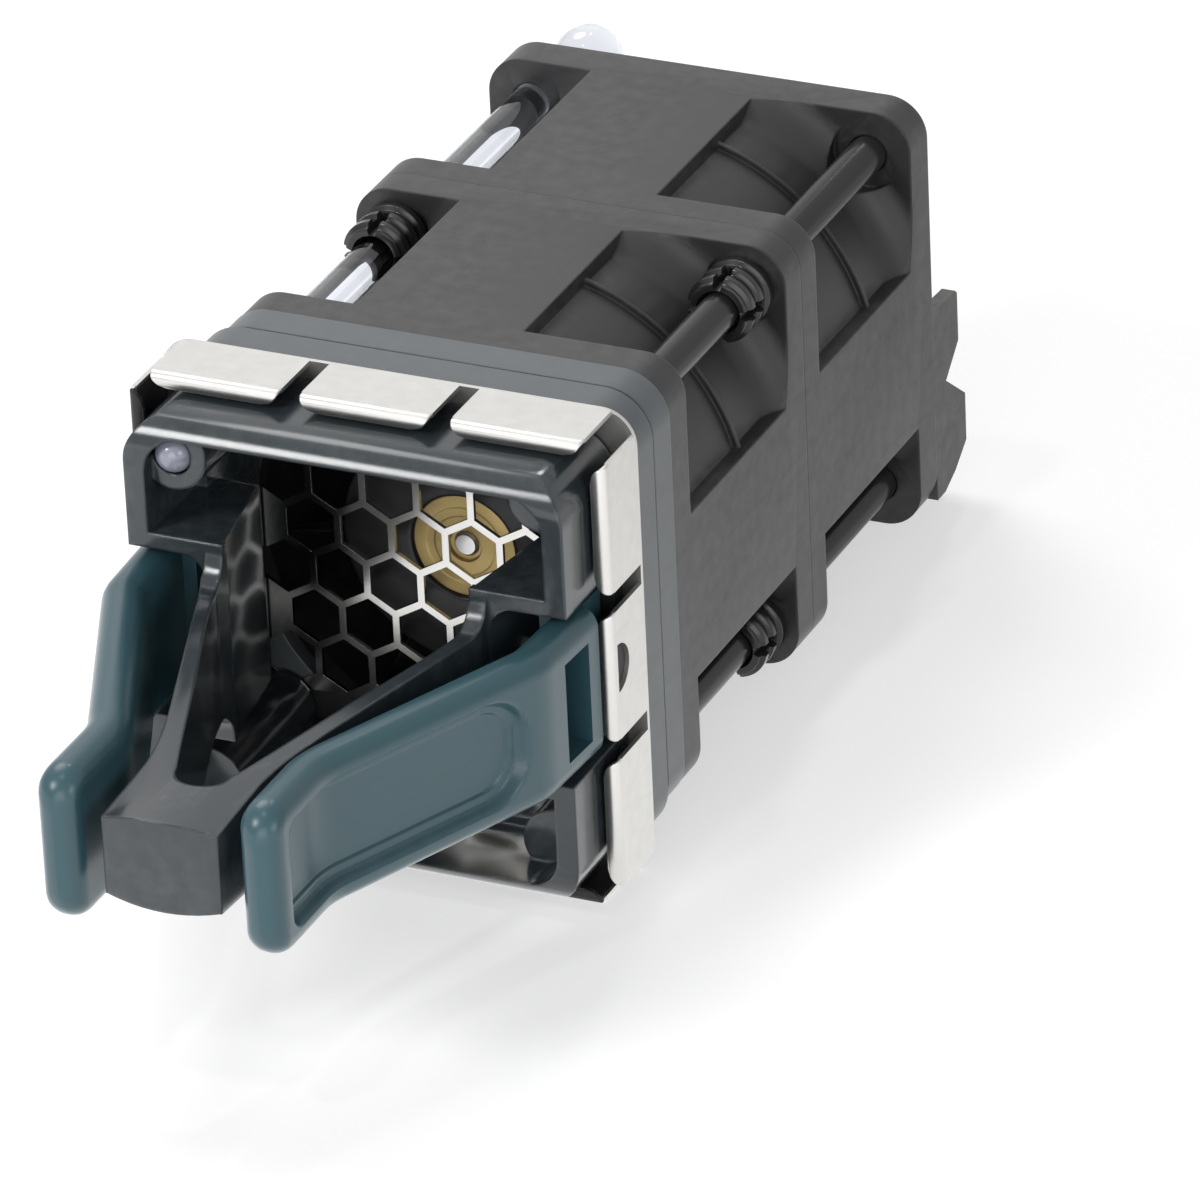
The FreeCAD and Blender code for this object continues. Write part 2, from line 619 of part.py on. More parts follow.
def tie_rod(corner, right, up):
    """Rod with a flat head behind the rear flange."""
    x = f"{right}*hole_offset"
    z = f"{up}*hole_offset"
    node(f"tie_rod_{corner}",
         fuse(f"rod_{corner}",
              drum(f"rod_{corner}_bar", "rod_radius", "rod_front", "2*fan_depth", x, z),
              drum(f"rod_{corner}_head", "head_radius", "2*fan_depth", "2*fan_depth + head_thick", x, z)))


def rod_collar(corner, right, up):
    """Ridged, notched collar that clamps a rod in front of the middle flanges."""
    x = f"{right}*hole_offset"
    z = f"{up}*hole_offset"
    rear = "fan_depth - inner_flange"
    front = f"{rear} - collar_depth"
    ridges = [drum(f"collar_{corner}_core", "collar_radius - collar_groove", front, rear, x, z)]
    for number in range(3):
        begin = f"{rear} - {number} * collar_depth/3 - collar_depth/5"
        ridges.append(drum(f"collar_{corner}_ridge_{number}", "collar_radius", begin,
                           f"{begin} + collar_depth/5", x, z))
    notch_x = block(f"collar_{corner}_notch_x", (f"{x} - collar_radius - 1", f"{x} + collar_radius + 1"),
                    (f"{front} - 1", f"{front} + collar_depth*0.62"), (f"{z} - 0.4", f"{z} + 0.4"))
    notch_z = block(f"collar_{corner}_notch_z", (f"{x} - 0.4", f"{x} + 0.4"),
                    (f"{front} - 1", f"{front} + collar_depth*0.62"),
                    (f"{z} - collar_radius - 1", f"{z} + collar_radius + 1"))
    node(f"rod_collar_{corner}",
         cut(f"collar_{corner}", fuse(f"collar_{corner}_blank", *ridges),
             drum(f"collar_{corner}_bore", "rod_radius", f"{front} - 1", f"{rear} + 1", x, z),
             drum(f"collar_{corner}_dish", "rod_radius + 0.35", f"{front} - 1", f"{front} + 0.8", x, z),
             notch_x, notch_z))


for corner, right, up in CORNERS:
    rod_collar(corner, right, up)
    if corner != "upper_left":
        tie_rod(corner, right, up)


def ball(name, radius, x, y, z):
    """A sphere."""
    item = doc.addObject("Part::Sphere", name)
    item.setExpression("Radius", formula(radius))
    return place(item, x, y, z)


def light_pipe():
    """Clear rod in the fourth corner: domed at the front, with a round lens at the rear."""
    x = "-hole_offset"
    z = "hole_offset"
    node("light_pipe",
         fuse("pipe", drum("pipe_bar", "rod_radius", "pipe_front + rod_radius", "lens_y", x, z),
              ball("pipe_dome", "rod_radius", x, "pipe_front + rod_radius", z),
              ball("pipe_lens", "lens_radius", "lens_inset - hole_offset", "lens_y", z)))


light_pipe()


# ---------------------------------------------------------------- grey rear frame of the bezel

def rear_frame():
    """Stepped frame with a groove, a square mouth and a round rear web."""
    bands = fuse("frame_bands",
                 square("frame_front_band", "frame_front_side", "frame_corner", "frame_front", "groove_front"),
                 square("frame_groove", "groove_side", "frame_corner",
                        "groove_front - 0.1", "groove_rear + 0.1"),
                 square("frame_rear_band", "frame_rear_side", "frame_corner", "groove_rear", "0"))
    mouth = square("frame_mouth", "shield_wall_side + 0.1", "shield_corner", "frame_front - 1", "-web_thick")
    node("rear_frame",
         cut("frame", bands, mouth, drum("frame_bore", "bore_radius + 0.1", "-5", "1"),
             *corner_drums("frame_hole", "rod_radius + rod_clearance", "-5", "1")))


rear_frame()


# ---------------------------------------------------------------- sheet-metal shield

def finger_row(name, turned):
    """Three spring fingers with folded lips on one side of the shield."""
    top = ("shield_side/2 - sheet", "shield_side/2")
    lip = ("shield_side/2 - finger_lip", "shield_side/2")
    length = ("finger_front", "frame_front - sheet")
    lip_length = ("finger_front", "finger_front + sheet")
    pieces = []
    for side, low, high in (("left", "-finger_reach", "-finger_inner"),
                            ("middle", "-finger_middle", "finger_middle"),
                            ("right", "finger_inner", "finger_reach")):
        pieces.append(block(f"{name}_{side}", (low, high), length, top))
        pieces.append(block(f"{name}_{side}_lip", (f"{low} + 0.5", f"{high} - 0.5"), lip_length, lip))
    row = fuse(name, *pieces)
    row.Placement = Placement(Vector(), Rotation(Vector(0, 1, 0), turned))
    return row


def latch_window(name, side):
    """D-shaped window, flat towards the front, in the middle finger of one side."""
    disc = doc.addObject("Part::Cylinder", f"{name}_disc")
    disc.setExpression("Radius", formula("window_radius"))
    disc.Height = 4
    disc.Placement.Rotation = ALONG_X
    place(disc, f"{side}*(shield_side/2) - 2", "window_y", "window_rise")
    half = block(f"{name}_half", ("-shield_side", "shield_side"), ("window_y", "window_y + 5"), ("-5", "5"))
    return common(name, disc, half)


def honeycomb_cells():
    """Hexagonal cells in staggered rows, left out where they would meet a rod or the edge."""
    pitch = size("cell_pitch")
    field = size("cell_field")
    rod_at = size("hole_offset")
    row_step = pitch * math.sqrt(3) / 2
    across_corners = (pitch - size("cell_strand")) / math.sqrt(3)
    half_flats = (pitch - size("cell_strand")) / 2
    cells = []
    row_reach = int(field / row_step) + 1
    column_reach = int(field / pitch) + 1
    for row in range(-row_reach, row_reach + 1):
        z = size("cell_rise") + row * row_step
        shift = 0.5 if row % 2 == 0 else 0.0
        for column in range(-column_reach, column_reach + 1):
            x = (column + shift) * pitch
            inside = abs(x) + half_flats <= field and abs(z) + across_corners <= field
            clear = math.hypot(abs(x) - rod_at, abs(z) - rod_at) > across_corners + size("rod_radius") + 0.3
            if inside and clear:
                cell = doc.addObject("Part::Prism", f"cell_{len(cells)}")
                cell.Polygon = 6
                cell.setExpression("Circumradius", formula("(cell_pitch - cell_strand)/1.7320508"))
                cell.Height = 2
                cell.Placement = Placement(Vector(x, -size("web_thick") - 1.2, z),
                                           Rotation(Vector(0, 1, 0), 90) * ALONG_Y)
                cells.append(cell)
    return cells


def emi_shield():
    """Folded box with a honeycomb back, a turned-out flange and spring fingers on four sides."""
    box_rear = "-web_thick"
    shell = cut("shield_box",
                square("shield_box_outside", "shield_wall_side", "shield_corner",
                       "frame_front - sheet", box_rear),
                square("shield_box_inside", "shield_wall_side - 2*sheet", "shield_corner",
                       "frame_front - 1", f"{box_rear} - sheet"))
    flange = cut("shield_flange",
                 square("shield_flange_outside", "shield_side", "shield_corner",
                        "frame_front - sheet", "frame_front"),
                 square("shield_flange_inside", "shield_wall_side - 2*sheet", "shield_corner",
                        "frame_front - 1", "frame_front + 1"))
    rows = [finger_row(f"fingers_{turned}", turned) for turned in (0, 90, 180, 270)]
    sheet_metal = fuse("shield_sheet", shell, flange, *rows)
    cells = doc.addObject("Part::Compound", "shield_cells")
    cells.Links = honeycomb_cells()
    perforated = cut("shield_perforated", sheet_metal, cells)
    node("emi_shield",
         cut("shield", perforated, latch_window("window_right", 1), latch_window("window_left", -1),
             *corner_drums("shield_hole", "rod_radius + rod_clearance", "-5", "1")))


emi_shield()


# ---------------------------------------------------------------- bezel with pockets, yoke and nose

def plan_wedge(name, near_front, near_rear, outer, front, rear, half_height):
    """A four-cornered plan area carried up and down, at one side of the bezel."""
    corners = ((outer, front), (near_front, front), (near_rear, rear), (outer, rear), (outer, front))
    return extrude(name, outline(f"{name}_plan", lines(*corners)), Vector(0, 0, 1), f"2*({half_height})")


def yoke():
    """Two arms that narrow from the pockets to the nose, seen in plan and from the side."""
    front = size("bezel_front")
    half = size("nose_half")
    nose = size("nose_front")
    outer_x = size("pocket_inner_front")
    back = front + 0.8
    arm_right = ((outer_x, front - 1.2), *ARM_OUTSIDE, (half, ARM_END))
    arm_left = [(-x, y) for x, y in reversed(arm_right)]
    gap_left = [(-x, y) for x, y in GAP_SIDE]
    gap_front = GAP_SIDE[-1]
    plan = (lines((outer_x, back), arm_right[0]) + curve(*arm_right) + lines(arm_right[-1], (half, nose))
            + [Part.Arc(Vector(half, nose, 0), Vector(0, nose - size("nose_bow"), 0), Vector(-half, nose, 0))]
            + lines((-half, nose), arm_left[0]) + curve(*arm_left)
            + lines(arm_left[-1], (-outer_x, back), (-GAP_ROOT, back), gap_left[0]) + curve(*gap_left)
            + [Part.Arc(Vector(*gap_left[-1], 0), Vector(0, size("notch_front"), 0), Vector(*gap_front, 0))]
            + curve(*reversed(GAP_SIDE)) + lines(GAP_SIDE[0], (GAP_ROOT, back), (outer_x, back)))
    body = extrude("yoke_plan_body", outline("yoke_plan", plan), Vector(0, 0, 1),
                   "2*pocket_height + 2*pocket_wall")

    tall = size("pocket_height") + size("pocket_wall")
    low = size("arm_root_height")
    tip = size("nose_height")
    bend = front - size("arm_fillet")
    dip = Vector(front - 0.9, low + 0.9, 0)
    end = nose - 3
    slope = (low - tip) / (bend - nose) * 3
    profile = (lines((back, -tall), (back, tall), (front, tall))
               + [Part.Arc(Vector(front, tall, 0), dip, Vector(bend, low, 0))]
               + lines((bend, low), (end, tip - slope), (end, -tip + slope), (bend, -low))
               + [Part.Arc(Vector(bend, -low, 0), Vector(dip.x, -dip.y, 0), Vector(front, -tall, 0))]
               + lines((front, -tall), (back, -tall)))
    side = outline("yoke_profile", profile)
    side.Placement.Rotation = Rotation(Vector(0, 1, 0), Vector(0, 0, 1), Vector(1, 0, 0), "XYZ")
    slab = extrude("yoke_side_body", side, Vector(1, 0, 0), "bezel_side")
    crowns = [drum(f"nose_crown_{name}", "crown_radius", "nose_front - 1", "crown_rear", "0",
                   f"{way}*(crown_height - crown_radius)") for name, way in (("top", 1), ("base", -1))]
    return fuse("yoke", common("yoke_arms", body, slab), common("nose_crown", body, *crowns))


def bezel():
    """Square tube with bowed front edge, corner posts, lever pockets and the yoke handle."""
    tube = fuse("bezel_mass",
                square("bezel_outside", "bezel_side", "bezel_corner", "bezel_front", "bezel_step"),
                square("bezel_tail", "tail_side", "shield_corner", "bezel_step - 0.1", "bezel_rear"))
    hollow = fuse("bezel_hollow",
                  square("bezel_mouth", "bezel_side - 2*bezel_wall", "shield_corner",
                         "bezel_front - 1", "bezel_step - bezel_wall"),
                  square("bezel_throat", "tail_side - 2*tail_wall", "shield_corner",
                         "bezel_front - 1", "bezel_rear + 1"))
    posts = corner_drums("bezel_post", "post_radius", "post_front", "bezel_rear")
    posts[0].setExpression("Placement.Base.y", formula("pipe_boss_front"))
    posts[0].setExpression("Height", formula("bezel_rear - pipe_boss_front"))
    limit = square("bezel_post_limit", "bezel_side - 1", "bezel_corner", "bezel_front", "bezel_step")
    tail_limit = square("bezel_post_tail", "tail_side", "shield_corner", "bezel_step", "bezel_rear")
    kept_posts = common("bezel_posts", fuse("bezel_post_set", *posts),
                        fuse("bezel_post_limits", limit, tail_limit))
    bow_block = block("bezel_bow_block", ("-bezel_side", "bezel_side"), ("bezel_front", "0"),
                      ("-bezel_side/2", "bezel_side/2"))
    front = size("bezel_front")

    def front_edge(edge):
        return runs_along(Vector(1, 0, 0))(edge) and abs(edge.Vertexes[0].Y - front) < 0.01

    bow = round_edges("bezel_bow_limit", bow_block, "bezel_bow", front_edge)

    wall = size("pocket_wall")
    outer = size("bezel_side") / 2
    inner = (size("pocket_inner_front"), size("pocket_inner_rear"))
    rear = size("pocket_rear")
    right_block = plan_wedge("pocket_block", inner[0] - wall, inner[1] - wall, outer - 0.5,
                             front, rear + wall, "pocket_height + pocket_wall")
    sharp_space = plan_wedge("pocket_space_sharp", inner[0], inner[1], outer + 2, front - 1, rear,
                             "pocket_height")

    def inner_edge(edge):
        middle = edge.CenterOfMass
        return middle.x < inner[1] and abs(middle.z) > 1 and edge.Length > 5

    right_space = round_edges("pocket_space", sharp_space, "pocket_corner", inner_edge)
    shell = cut("bezel_tube", tube, hollow)
    solid = common("bezel_bowed", fuse("bezel_blank", shell, kept_posts, right_block,
                                       mirrored("pocket_block_left", right_block)), bow)
    whole = fuse("bezel_whole", solid, yoke())
    pins = [post(f"bezel_pin_hole_{side}", "pin_radius", "-pocket_height - 1", "pocket_height + 1",
                 f"{sign}*pin_x", "pin_y") for side, sign in (("left", -1), ("right", 1))]
    holes = corner_drums("bezel_rod_hole", "rod_radius + rod_clearance", "rod_front", "0")
    holes[0].setExpression("Placement.Base.y", formula("pipe_boss_front - 1"))
    holes[0].setExpression("Height", formula("1 - pipe_boss_front"))
    node("bezel_handle",
         cut("bezel", whole, right_space, mirrored("pocket_space_left", right_space), *pins, *holes))


bezel()


# ---------------------------------------------------------------- latch levers, pins and springs

def lever():
    """Right lever: S-shaped in plan, rounded rim, thumb recess, window and hinge knuckle."""
    outer = size("lever_outer")
    tip = size("lever_tip_outer")
    thick = size("lever_thick")
    shoulder = size("lever_shoulder")
    bend = size("lever_bend")
    knee = size("lever_knee")
    front = size("lever_front")
    lean = math.atan2(outer - 0.5 - tip, bend - knee)
    shift = thick * math.tan(lean / 2)
    under = size("pin_x") + size("knuckle_radius")
    pin_y = size("pin_y")
    inner = size("pin_x") - size("knuckle_radius")
    outer_line = [(outer - 0.5, bend), (tip, knee)]
    inner_line = [(outer - 0.5 - thick, bend + shift * 0.3), (tip - thick, knee - shift)]
    plan = (lines((under, pin_y), (under, shoulder), (outer, shoulder), outer_line[0], outer_line[1],
                  (tip, front), (tip - thick, front), inner_line[1], inner_line[0], (inner, shoulder),
                  (inner, pin_y))
            + [Part.Arc(Vector(inner, pin_y, 0), Vector(size("pin_x"), pin_y + size("knuckle_radius"), 0),
                        Vector(under, pin_y, 0))])
    blank = extrude("lever_blank", outline("lever_plan", plan), Vector(0, 0, 1), "2*lever_height")

    def upright_at(*places):
        upright = runs_along(Vector(0, 0, 1))

        def test(edge):
            point = edge.Vertexes[0].Point
            return upright(edge) and any(math.hypot(point.x - x, point.y - y) < 0.05 for x, y in places)
        return test

    bent = round_edges("lever_bends", blank, "lever_bend_round", upright_at(*outer_line, *inner_line))
    tipped = round_edges("lever_tip", bent, "lever_tip_round", upright_at((tip, front), (tip - thick, front)))

    def rim(edge):
        level = edge.BoundBox
        flat = level.ZLength < 1e-4 and abs(abs(level.ZMax) - size("lever_height")) < 1e-3
        return flat and level.YMax < shoulder + 0.01

    rimmed = round_edges("lever_rimmed", tipped, "lever_edge", rim)
    side_block = block("lever_side_block", ("0", "bezel_side"), ("lever_front", "0"),
                       ("-lever_height", "lever_height"))

    def front_corner(edge):
        return runs_along(Vector(1, 0, 0))(edge) and abs(edge.Vertexes[0].Y - front) < 0.01

    side = round_edges("lever_side", side_block, "lever_corner", front_corner)
    rounded = common("lever_rounded", rimmed, side)

    far = outer + 6
    depth = size("pad_depth")
    drop = depth * math.tan(lean / 2)
    recess_plan = lines((far, bend + 8), (outer - 0.5 - depth, bend + 8), (outer - 0.5 - depth, bend + drop),
                        (tip - depth, knee + drop), (tip - depth, front - 2), (far, front - 2), (far, bend + 8))
    recess_depth = extrude("pad_depth_body", outline("pad_plan", recess_plan), Vector(0, 0, 1), "2*pad_half")
    pad = block("pad_side_block", ("0", "bezel_side"), ("pad_front", "pad_rear"), ("-pad_half", "pad_half"))
    pad_round = round_edges("pad_side_body", pad, "pad_corner", runs_along(Vector(1, 0, 0)))
    recess = common("lever_recess", recess_depth, pad_round)
    window = block("lever_window", ("lever_outer - 2.4", "lever_outer + 2"),
                   ("lever_window_front", "lever_window_rear"), ("-lever_window_half", "lever_window_half"))
    slot = block("lever_slot", ("0", "lever_outer"), ("pad_front + 0.8", "pad_front + 1.5"), ("-2.7", "1.3"))
    bore = post("lever_bore", "pin_radius + pin_gap", "-lever_height - 1", "lever_height + 1", "pin_x", "pin_y")
    return cut("lever_right", rounded, recess, window, slot, bore)


def lever_pin(side, sign):
    """Steel hinge pin between the roof and the floor of a pocket."""
    bar = post(f"pin_{side}_bar", "pin_radius", "-pocket_height - 1", "pocket_height + 1",
               f"{sign}*pin_x", "pin_y")
    node(f"lever_pin_{side}", single(f"pin_{side}", bar))


def lever_spring():
    """Bowed leaf spring that stands in the pocket and pushes the lever outwards."""
    begin = size("spring_inner")
    reach = size("spring_outer")
    low = size("spring_front")
    high = size("spring_rear")
    thick = size("spring_thick")
    middle = (low + high) / 2
    plan = ([Part.Arc(Vector(begin, low, 0), Vector(reach, middle, 0), Vector(begin, high, 0))]
            + lines((begin, high), (begin - thick, high))
            + [Part.Arc(Vector(begin - thick, high, 0), Vector(reach - thick, middle, 0),
                        Vector(begin - thick, low, 0))]
            + lines((begin - thick, low), (begin, low)))
    return extrude("spring_right", outline("spring_plan", plan), Vector(0, 0, 1), "spring_height")


right_lever = lever()
node("latch_lever_left", mirrored("lever_left", right_lever))
node("latch_lever_right", single("lever_right_placed", right_lever))
right_spring = lever_spring()
node("lever_spring_left", mirrored("spring_left", right_spring))
node("lever_spring_right", single("spring_right_placed", right_spring))
for side, sign in (("left", -1), ("right", 1)):
    lever_pin(side, sign)


# ---------------------------------------------------------------- rear bracket and connector

def rear_end():
    """Corner bracket with two lugs round the blind-mate connector."""
    rear = 2 * size("fan_depth")
    sketch = outline("bracket_profile", lines(*[(rear + behind, z) for behind, z in LUG_OUTLINE]))
    sketch.Placement.Rotation = Rotation(Vector(0, 1, 0), Vector(0, 0, 1), Vector(1, 0, 0), "XYZ")
    slab = extrude("bracket_slab", sketch, Vector(1, 0, 0), "flange_side")
    lugs = common("bracket_lugs", slab,
                  block("bracket_lug_space", ("flange_side/2 - lug_thick", "flange_side/2"),
                        ("2*fan_depth", "lower_lug_rear + 1"), ("plate_bottom - 1", "0")))
    plate = block("bracket_plate", ("plate_inner", "flange_side/2"),
                  ("2*fan_depth", "2*fan_depth + bracket_thick"), ("plate_bottom", "plate_top"))
    begin = "2*fan_depth + head_thick"
    across = ("shroud_inner", "shroud_outer")
    upright = ("shroud_bottom", "shroud_top")
    node("rear_bracket",
         cut("bracket", fuse("bracket_blank", lugs, plate),
             drum("bracket_bore", "bore_radius + 0.25", "2*fan_depth - 1", "lower_lug_rear + 1"),
             drum("bracket_head_space", "head_radius", "2*fan_depth - 1", begin, "hole_offset", "-hole_offset"),
             block("bracket_shroud_space", across, (begin, "lower_lug_rear + 1"), upright)))
    socket = block("connector_socket", ("shroud_inner + shroud_wall", "shroud_outer - shroud_wall"),
                   (f"{begin} + shroud_floor", "lower_lug_rear + 1"),
                   ("shroud_bottom + shroud_wall", "shroud_top - shroud_wall"))
    node("connector_housing",
         cut("connector", block("connector_block", across, (begin, "lower_lug_rear"), upright), socket))
    blades = []
    for column in range(2):
        for row in range(3):
            inner = f"shroud_inner + 1 + {column}*contact_column"
            low = f"shroud_bottom + 0.8 + {row}*contact_row"
            blades.append(block(f"contact_{column}_{row}", (inner, f"{inner} + contact_width"),
                                (f"{begin} + 0.8", "lower_lug_rear - 1"), (low, f"{low} + contact_height")))
    node("connector_contacts", fuse("contacts", *blades))


rear_end()


# ---------------------------------------------------------------- checks and files

doc.recompute()
for item in doc.Objects:
    if "Invalid" in item.State or "Error" in item.State:
        raise SystemExit(f"{item.Name} failed to build: {item.State}")
for item in nodes:
    if item.Shape.isNull() or not item.Shape.isValid():
        raise SystemExit(f"{item.Label} has no valid shape")

os.makedirs("parts", exist_ok=True)
for item in nodes:
    item.Shape.exportStep(f"parts/{item.Label}.step")
print(f"{len(nodes)} sub-parts written")
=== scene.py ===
"""Dressed model of a hot-swap server fan module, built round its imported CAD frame."""

import json
import logging
import math
from dataclasses import dataclass, field
from enum import Enum
from typing import Callable, Iterable, Sequence

import bmesh
import bpy
import numpy as np
from mathutils import Matrix, Vector

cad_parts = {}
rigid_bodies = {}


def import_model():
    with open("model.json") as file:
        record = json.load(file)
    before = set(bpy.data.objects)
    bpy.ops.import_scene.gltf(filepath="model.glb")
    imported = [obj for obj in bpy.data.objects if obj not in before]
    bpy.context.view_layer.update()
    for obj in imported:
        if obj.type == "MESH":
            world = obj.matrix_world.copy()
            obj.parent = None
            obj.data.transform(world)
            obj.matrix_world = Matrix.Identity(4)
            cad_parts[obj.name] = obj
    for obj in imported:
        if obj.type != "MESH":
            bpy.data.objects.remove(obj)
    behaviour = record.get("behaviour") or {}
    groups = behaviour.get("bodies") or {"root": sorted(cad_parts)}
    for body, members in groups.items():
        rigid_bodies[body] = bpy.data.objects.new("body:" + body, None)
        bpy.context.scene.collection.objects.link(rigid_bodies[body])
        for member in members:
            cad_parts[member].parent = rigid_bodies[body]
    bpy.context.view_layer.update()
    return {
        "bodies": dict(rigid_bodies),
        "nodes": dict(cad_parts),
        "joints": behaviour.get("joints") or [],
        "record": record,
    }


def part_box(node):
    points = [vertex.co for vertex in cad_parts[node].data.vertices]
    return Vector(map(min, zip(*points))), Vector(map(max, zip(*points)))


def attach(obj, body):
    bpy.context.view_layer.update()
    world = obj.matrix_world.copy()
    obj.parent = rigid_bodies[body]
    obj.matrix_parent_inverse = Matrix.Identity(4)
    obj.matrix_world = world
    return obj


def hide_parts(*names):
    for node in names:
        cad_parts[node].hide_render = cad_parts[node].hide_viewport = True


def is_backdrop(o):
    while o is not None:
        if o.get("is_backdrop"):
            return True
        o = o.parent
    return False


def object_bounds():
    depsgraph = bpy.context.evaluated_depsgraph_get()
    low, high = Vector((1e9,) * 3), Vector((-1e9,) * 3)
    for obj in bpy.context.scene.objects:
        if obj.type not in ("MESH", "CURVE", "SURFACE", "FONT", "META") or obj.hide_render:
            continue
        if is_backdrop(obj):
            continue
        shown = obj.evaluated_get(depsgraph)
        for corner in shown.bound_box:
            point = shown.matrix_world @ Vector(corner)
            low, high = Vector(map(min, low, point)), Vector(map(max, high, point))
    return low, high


log = logging.getLogger("fan_module")
MM = 0.001
AXIS_HEIGHT = 21.5 * MM
NEAR_AXIS = 0.02 * MM
SAME_PLACE = 1e-6
FLAT_WITHIN = math.radians(0.6)


# ---------------------------------------------------------------- meshes

def add_object(name: str, mesh: bpy.types.Mesh) -> bpy.types.Object:
    """Link a mesh into the scene as a new object.

    Args:
        name: the object's name.
        mesh: its mesh.

    Returns:
        The new object, at the origin.
    """
    piece = bpy.data.objects.new(name, mesh)
    bpy.context.scene.collection.objects.link(piece)
    return piece


def mesh_from_arrays(name: str, points: np.ndarray, faces: Iterable[Sequence[int]],
                     closed: bool = True) -> bpy.types.Object:
    """Make an object from arrays of points and faces.

    Args:
        name: the object's name.
        points: an array of (x, y, z) in metres.
        faces: corner numbers of each face.
        closed: whether it is a closed skin, whose doubles are merged and whose faces turn outwards.

    Returns:
        The new object.
    """
    mesh = bpy.data.meshes.new(name)
    mesh.from_pydata(points.reshape(-1, 3).tolist(), [], [list(map(int, face)) for face in faces])
    if closed:
        sculpt = bmesh.new()
        sculpt.from_mesh(mesh)
        bmesh.ops.remove_doubles(sculpt, verts=sculpt.verts, dist=SAME_PLACE)
        bmesh.ops.recalc_face_normals(sculpt, faces=sculpt.faces)
        sculpt.to_mesh(mesh)
        sculpt.free()
        shade_by_angle(mesh)
    return add_object(name, mesh)


def shade_by_angle(mesh: bpy.types.Mesh, degrees: float = 35.0) -> None:
    """Shade a mesh smoothly except across edges sharper than an angle.

    Args:
        mesh: the mesh to shade.
        degrees: the sharpest angle that still shades smoothly.
    """
    mesh.polygons.foreach_set("use_smooth", np.ones(len(mesh.polygons), dtype=bool))
    mesh.set_sharp_from_angle(angle=math.radians(degrees))
    mesh.update()


def grid_faces(rows: int, columns: int, wrap: bool) -> np.ndarray:
    """Four-cornered faces of a grid of points numbered row by row.

    Args:
        rows: number of rows of points.
        columns: points in each row.
        wrap: whether the last column joins the first.

    Returns:
        An array with the four point numbers of each face.
    """
    steps = columns if wrap else columns - 1
    row, column = np.meshgrid(np.arange(rows - 1), np.arange(steps), indexing="ij")
    following = (column + 1) % columns
    corners = (row * columns + column, row * columns + following,
               (row + 1) * columns + following, (row + 1) * columns + column)
    return np.stack(corners, axis=-1).reshape(-1, 4)


def capped(rings: np.ndarray, first: int) -> list[list[int]]:
    """Faces of a stack of rings with a flat cap at each end.

    Args:
        rings: an array (ring, point, 3).
        first: number of its first point.

    Returns:
        Corner numbers of each face.
    """
    count, around = rings.shape[:2]
    skin = grid_faces(count, around, True) + first
    return [*skin.tolist(), (np.arange(around) + first).tolist(),
            (np.arange(around) + (count - 1) * around + first).tolist()]


def stacked(name: str, *stacks: np.ndarray) -> bpy.types.Object:
    """One object from several stacks of rings, each closed by its caps.

    Args:
        name: the object's name.
        stacks: arrays (ring, point, 3) in metres.

    Returns:
        The new object.
    """
    starts = np.cumsum([0] + [stack.shape[0] * stack.shape[1] for stack in stacks])
    faces = [face for stack, first in zip(stacks, starts) for face in capped(stack, int(first))]
    return mesh_from_arrays(name, np.concatenate([stack.reshape(-1, 3) for stack in stacks]), faces)


def rounded_outline(corners: np.ndarray, radius: float, steps: int = 5) -> np.ndarray:
    """Round every corner of a closed outline.

    Each corner gives way to the curve (1-t)^2 A + 2t(1-t) C + t^2 B, where A and B lie on its two
    sides at the rounding's reach and C is the corner.

    Args:
        corners: an array (corner, 2) in metres.
        radius: the rounding, less where a side is short.
        steps: points of each rounding.

    Returns:
        An array (point, 2).
    """
    back, ahead = np.roll(corners, 1, 0) - corners, np.roll(corners, -1, 0) - corners
    back_length = np.linalg.norm(back, axis=1, keepdims=True)
    ahead_length = np.linalg.norm(ahead, axis=1, keepdims=True)
    reach = np.minimum(radius, 0.45 * np.minimum(back_length, ahead_length))
    start = (corners + back / back_length * reach)[:, None, :]
    end = (corners + ahead / ahead_length * reach)[:, None, :]
    share = np.linspace(0.0, 1.0, steps)[None, :, None]
    curve = (1 - share) ** 2 * start + 2 * share * (1 - share) * corners[:, None, :] + share ** 2 * end
    return curve.reshape(-1, 2)


def revolved(outline: np.ndarray, centre: Sequence[float], around: int = 64) -> np.ndarray:
    """Carry (radius, along) points round an axis parallel to Y: (r cos a, y, r sin a).

    Args:
        outline: an array (point, 2) in metres.
        centre: x and z of the axis.
        around: points round the axis.

    Returns:
        An array (point, around, 3).
    """
    angle = np.linspace(0.0, 2.0 * np.pi, around, endpoint=False)
    radius, along = outline[:, 0, None], outline[:, 1, None] * np.ones(around)
    return np.stack((centre[0] + radius * np.cos(angle), along,
                     centre[1] + radius * np.sin(angle)), axis=-1)


def ring_mesh(name: str, grid: np.ndarray) -> bpy.types.Object:
    """Close a grid of points in both directions, as a ring with a hole through it.

    Args:
        name: the object's name.
        grid: an array (outline point, point round the axis, 3).

    Returns:
        The new object.
    """
    joined = np.concatenate((grid, grid[:1]))
    return mesh_from_arrays(name, joined, grid_faces(joined.shape[0], joined.shape[1], True))


